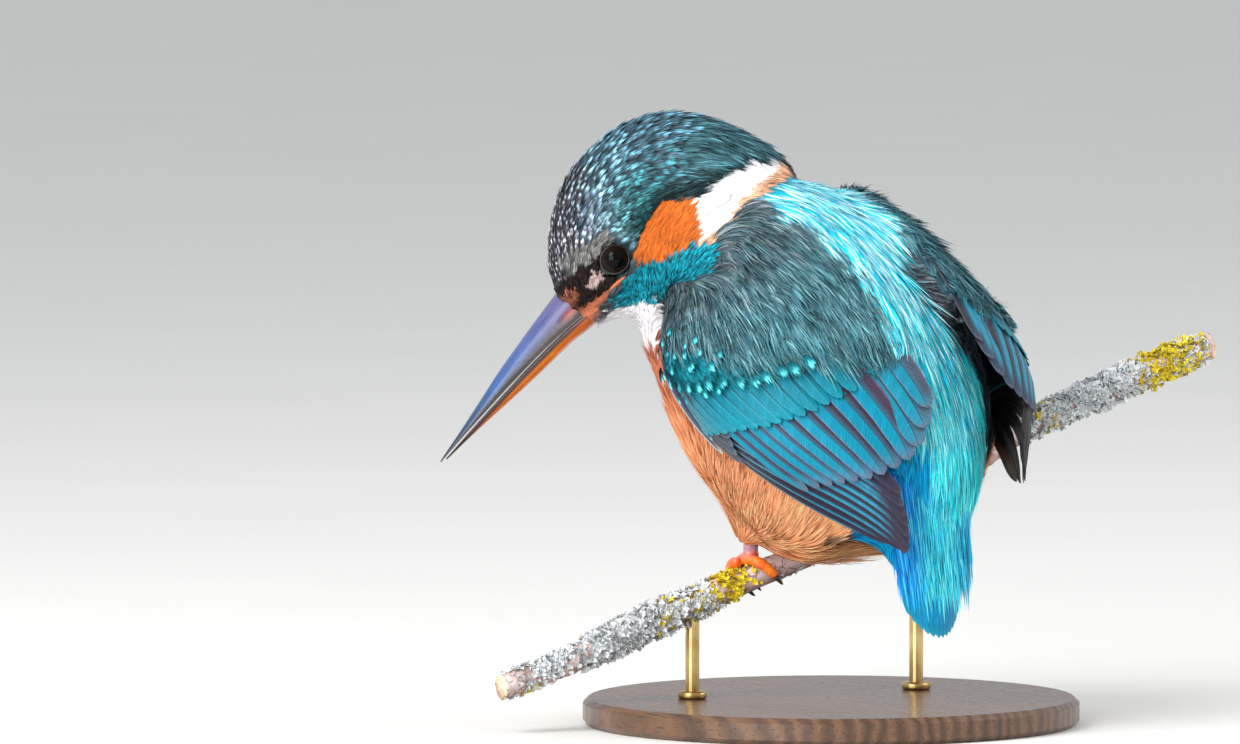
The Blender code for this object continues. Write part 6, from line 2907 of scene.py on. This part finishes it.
@dataclass
class Perch:
    """The cut length of branch with its bark and its lichens."""

    rings: int = 420
    sides: int = 44
    knot_length: float = 1.7

    def surface(self, station: Array, angle: Array) -> tuple[Array, Array]:
        """Points of the bark and the ways out of it.

        Args:
            station: places along the branch.
            angle: places round it; a quarter turn is its top.

        Returns:
            The points and the ways out.
        """
        dense = branch_rows()
        here, along = branch_line(station)
        side = unit(np.cross(along, (0.0, 0.0, 1.0)))
        over = np.cross(side, along)
        out = side * np.cos(angle)[..., None] + over * np.sin(angle)[..., None]
        radius = np.interp(station, dense[:, 0], dense[:, 2])
        plain = here + out * radius[..., None]
        knots = sum(
            height * np.exp(-(((station - s) / self.knot_length) ** 2)) * (0.4 + 0.6 * np.cos(angle - a))
            for s, a, height in KNOTS
        )
        rough = 0.16 * Ripple(81, 5.0)(plain) + 0.10 * Ripple(82, 1.3)(plain)
        ridges = 0.06 * np.abs(np.sin(station * 1.9 + 1.2 * np.sin(angle * 2 + station * 0.2)))
        calm = 0.3 + 0.7 * step_up(np.abs(station), 13.0, 17.0)
        return plain + out * ((knots + rough + ridges) * calm)[..., None], out

    def build(self) -> None:
        """Models the bark, then the lichens on it."""
        s, a = np.meshgrid(
            np.linspace(BRANCH[0][0], BRANCH[-1][0], self.rings),
            np.arange(self.sides) * math.tau / self.sides, indexing="ij",
        )
        points, _ = self.surface(s, a)
        obj = tube("perch_bark", points)
        at = points_of(obj)
        tone = 1 + 0.2 * Ripple(83, 14.0)(at) + 0.12 * Ripple(84, 4.0)(at)
        local = at - BIRD_ORIGIN
        yaw = math.radians(BRANCH_YAW)
        station = local[:, 0] * math.sin(yaw) + local[:, 1] * math.cos(yaw)
        stations, heights, _ = zip(*BRANCH)
        height = local[:, 2] - np.interp(station, stations, heights)
        # Painted shade: the bark is painted darker and greyer on the branch's underside.
        under = step_up(height, 0.5, -2.0)
        colours = mixed(np.ones(3) * tone[:, None], np.array((0.55, 0.5, 0.45)), under * 0.6)
        cut = (station < -59.6) | (station > 85.6)
        colours[cut] = np.array((1.25, 1.15, 0.85))
        tinted(obj, with_gloss(colours, 0.0))
        dressed(obj, BARK, "bark", "perch")
        self.lichens()

    def lichens(self) -> None:
        """Rosettes of leafy lobes: grey-white ones and yellow ones."""
        random = np.random.default_rng(85)
        grey = ((0.45, 0.50, 0.50), (0.80, 0.85, 0.88), (0.95, 0.96, 0.97))
        yellow = ((0.72, 0.44, 0.015), (0.97, 0.70, 0.03), (0.98, 0.84, 0.08))
        for name, patches, tones in (("grey", GREY_PATCHES, grey), ("yellow", YELLOW_PATCHES, yellow)):
            batch = Batch()
            for middle, spread, count, size in patches:
                self.lobes(batch, random, middle, spread, count, size, tones)
            batch.build(f"lichen_{name}", LICHEN, "bark")

    def lobes(
        self, batch: Batch, random: np.random.Generator, middle: float, spread: float, count: int,
        size: float, tones: tuple[Colour, ...],
    ) -> None:
        """One patch of small curled lobes that grow out from scattered hearts.

        Args:
            batch: the mesh that they join.
            random: for what differs between them.
            middle, spread: the patch's place and reach along the branch.
            count: how many lobes.
            size: of a lobe.
            tones: colours at root, middle and rim.
        """
        hearts = max(2, count // 11)
        heart_s = middle + random.normal(0, spread * 0.6, hearts)
        heart_a = random.normal(1.4, 1.7, hearts)
        pick = random.integers(0, hearts, count)
        turn = random.uniform(0, math.tau, count)
        away = np.abs(random.normal(0, 1.0, count)) * size
        s = np.clip(heart_s[pick] + away * np.cos(turn), -58.0, 84.0)
        a = heart_a[pick] + away * np.sin(turn) / 2.6
        grip = np.abs(s) < 13
        a = np.where(grip & (s > -6.5), 4.4 + 0.35 * a, a)
        root, out = self.surface(s, a)
        ahead, _ = self.surface(s + 0.5 * np.cos(turn), a + 0.5 * np.sin(turn) / 2.6)
        way = unit(ahead - root)
        side = unit(np.cross(way, out))
        scale = size * random.uniform(0.4, 1.1, count)
        u, v = np.meshgrid(np.linspace(-1, 1, 5), np.linspace(0, 1, 4))
        lobed = 1 + 0.16 * np.cos(u * 6.3)
        wide = 0.52 * (0.35 + 0.65 * np.sin(np.minimum(v * 1.3, 1) * math.pi / 2)) * u
        long = 1.1 * v * lobed * (1 - 0.35 * u**2)
        curl = random.uniform(0.15, 0.9, count)
        curled = curl[:, None, None] * v[None] ** 1.6 * (0.6 + 0.5 * np.abs(u[None]))
        lift = 0.1 + curled + 0.10 * np.sin(u * 5 + v * 4)[None] * v[None]
        place = root[:, None, None]
        for direction, reach in ((way, long[None]), (side, wide[None]), (out, lift)):
            place = place + direction[:, None, None] * (reach * scale[:, None, None])[..., None]
        quads = (np.arange(count) * u.size)[:, None, None] + grid_faces(*u.shape)[None]
        along = np.clip(v[None] * 0.75 + 0.25 * random.random((count, 1, 1)), 0, 1)
        colour = ramp(along, tuple(zip((0.0, 0.5, 1.0), tones)))
        colour = colour * random.uniform(0.75, 1.12, (count, 1, 1, 1))
        number = np.arange(count)
        grid = math.ceil(math.sqrt(count))
        cell = np.stack((number % grid, number // grid), -1) / grid
        uv = cell[:, None, None] + np.stack(((u + 1) / 2, v), -1)[None] * 0.9 / grid
        tint = with_gloss(np.clip(colour, 0, 0.97), 0.0).reshape(-1, 4)
        uv = uv.reshape(-1, 2)
        batch.add(place.reshape(-1, 3), [quads.reshape(-1, 4)[:, ::-1]], tint, uv, uv)


@dataclass
class Stand:
    """The round walnut base and the two brass rods, with a turned collar where each rod stands."""

    collar_radius: float = 2.7
    collar_height: float = 1.5
    collar_edge: float = 0.55

    def build(self, nodes: dict[str, Piece]) -> None:
        """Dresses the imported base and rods, and adds the collars.

        Args:
            nodes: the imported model's nodes.
        """
        for name, finish in (("stand_base", WALNUT), ("stand_rod_front", BRASS), ("stand_rod_back", BRASS)):
            nodes[name].data.materials.clear()
            nodes[name].data.materials.append(finish.material())
        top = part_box("stand_base")[1].z
        for name in ("front", "back"):
            low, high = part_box(f"stand_rod_{name}")
            deselected()
            bpy.ops.mesh.primitive_cylinder_add(
                vertices=64, radius=self.collar_radius * MM, depth=self.collar_height * MM,
                location=((low.x + high.x) / 2, (low.y + high.y) / 2, top + self.collar_height * MM / 2),
            )
            obj = bpy.context.object
            obj.name = obj.data.name = f"stand_collar_{name}"
            bpy.ops.object.transform_apply(location=True, rotation=True, scale=True)
            shaped(obj, "Turned edge", "BEVEL", width=self.collar_edge * MM, segments=4, limit_method="ANGLE")
            obj.data.shade_smooth()
            obj.data.set_sharp_from_angle(angle=math.radians(50))
            dressed(obj, BRASS, "brass")


# ---------------------------------------------------------------- studio


@dataclass
class Studio:
    """The pale floor, soft lights and the camera."""

    azimuth: float = 50.0
    elevation: float = 4.0
    distance: float = 3000.0
    frame_width: float = 229.6
    aim: tuple[float, float] = (-32.4, 34.8)

    def build(self) -> None:
        """Sets up everything round the object."""
        deselected()
        bpy.ops.mesh.primitive_plane_add(size=60.0, location=(0, 0, 0))
        floor = bpy.context.object
        floor.name = "studio_floor"
        floor.data.materials.append(PaleFloor("Pale floor").material())
        self.camera()
        self.lights()

    def axes(self) -> tuple[Array, Array, Array]:
        """The view's ways to the right, up and forward."""
        a, e = math.radians(self.azimuth), math.radians(self.elevation)
        right = np.array((math.cos(a), math.sin(a), 0.0))
        forward = np.array((-math.sin(a) * math.cos(e), math.cos(a) * math.cos(e), -math.sin(e)))
        return right, np.cross(right, forward), forward

    def camera(self) -> None:
        """A long lens from the bird's left and behind."""
        right, up, forward = self.axes()
        aim = BIRD_ORIGIN + right * self.aim[0] + up * self.aim[1]
        data = bpy.data.cameras.new("camera")
        data.sensor_width = 36.0
        data.lens = 36.0 * self.distance / self.frame_width
        data.clip_start, data.clip_end = 0.1, 200.0
        camera = bpy.data.objects.new("camera", data)
        bpy.context.scene.collection.objects.link(camera)
        camera.location = Vector(((aim - forward * self.distance) * MM).tolist())
        camera.rotation_mode = "QUATERNION"
        camera.rotation_quaternion = Vector(forward.tolist()).to_track_quat("-Z", "Y")
        bpy.context.scene.camera = camera

    def lights(self) -> None:
        """A key from the upper left, a broad fill, a third light from the right and a pale sky."""
        right, up, forward = self.axes()
        middle = BIRD_ORIGIN + np.array((0.0, 0.0, 40.0))
        for name, way, size, power in (
            ("key", -0.75 * right + 0.9 * up - 0.75 * forward, 0.6, 10.0),
            ("fill", -0.6 * right + 0.05 * up - 0.85 * forward, 0.8, 10.5),
            ("rim", 0.95 * right + 0.55 * up - 0.05 * forward, 0.7, 5.0),
        ):
            way = unit(way)
            data = bpy.data.lights.new(name, "AREA")
            data.size, data.energy = size, power
            lamp = bpy.data.objects.new(name, data)
            bpy.context.scene.collection.objects.link(lamp)
            lamp.location = Vector((middle * MM + way * 1.1).tolist())
            lamp.rotation_mode = "QUATERNION"
            lamp.rotation_quaternion = Vector((-way).tolist()).to_track_quat("-Z", "Y")
        world = bpy.data.worlds.new("pale sky")
        bpy.context.scene.world = world
        world.use_nodes = True
        back = world.node_tree.nodes["Background"]
        back.inputs["Color"].default_value = (0.86, 0.89, 0.93, 1.0)
        back.inputs["Strength"].default_value = 0.74
        bpy.context.scene.view_settings.view_transform = "Standard"


def main() -> None:
    """Builds every piece in order."""
    logging.basicConfig(level=logging.INFO, format="%(name)s: %(message)s")
    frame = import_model()
    nodes = frame["nodes"]
    frames = Frames.read()
    wings = {side: WingGuide(side) for side in ("left", "right")}
    markings = Markings(frames, wings)
    skin = Skin(markings)
    skin.build(nodes)
    Coat(skin, markings).build()
    for number, wing in enumerate(wings.values()):
        Wing(wing, 500 + 100 * number).build()
    Tail(TailGuide()).build()
    Bill(frames).build()
    Face(frames, skin).build()
    for side, station in (("left", -9.2), ("right", 9.5)):
        Foot(side, station).build()
    Perch().build()
    Stand().build(nodes)
    Studio().build()


if __name__ == "__main__":
    main()
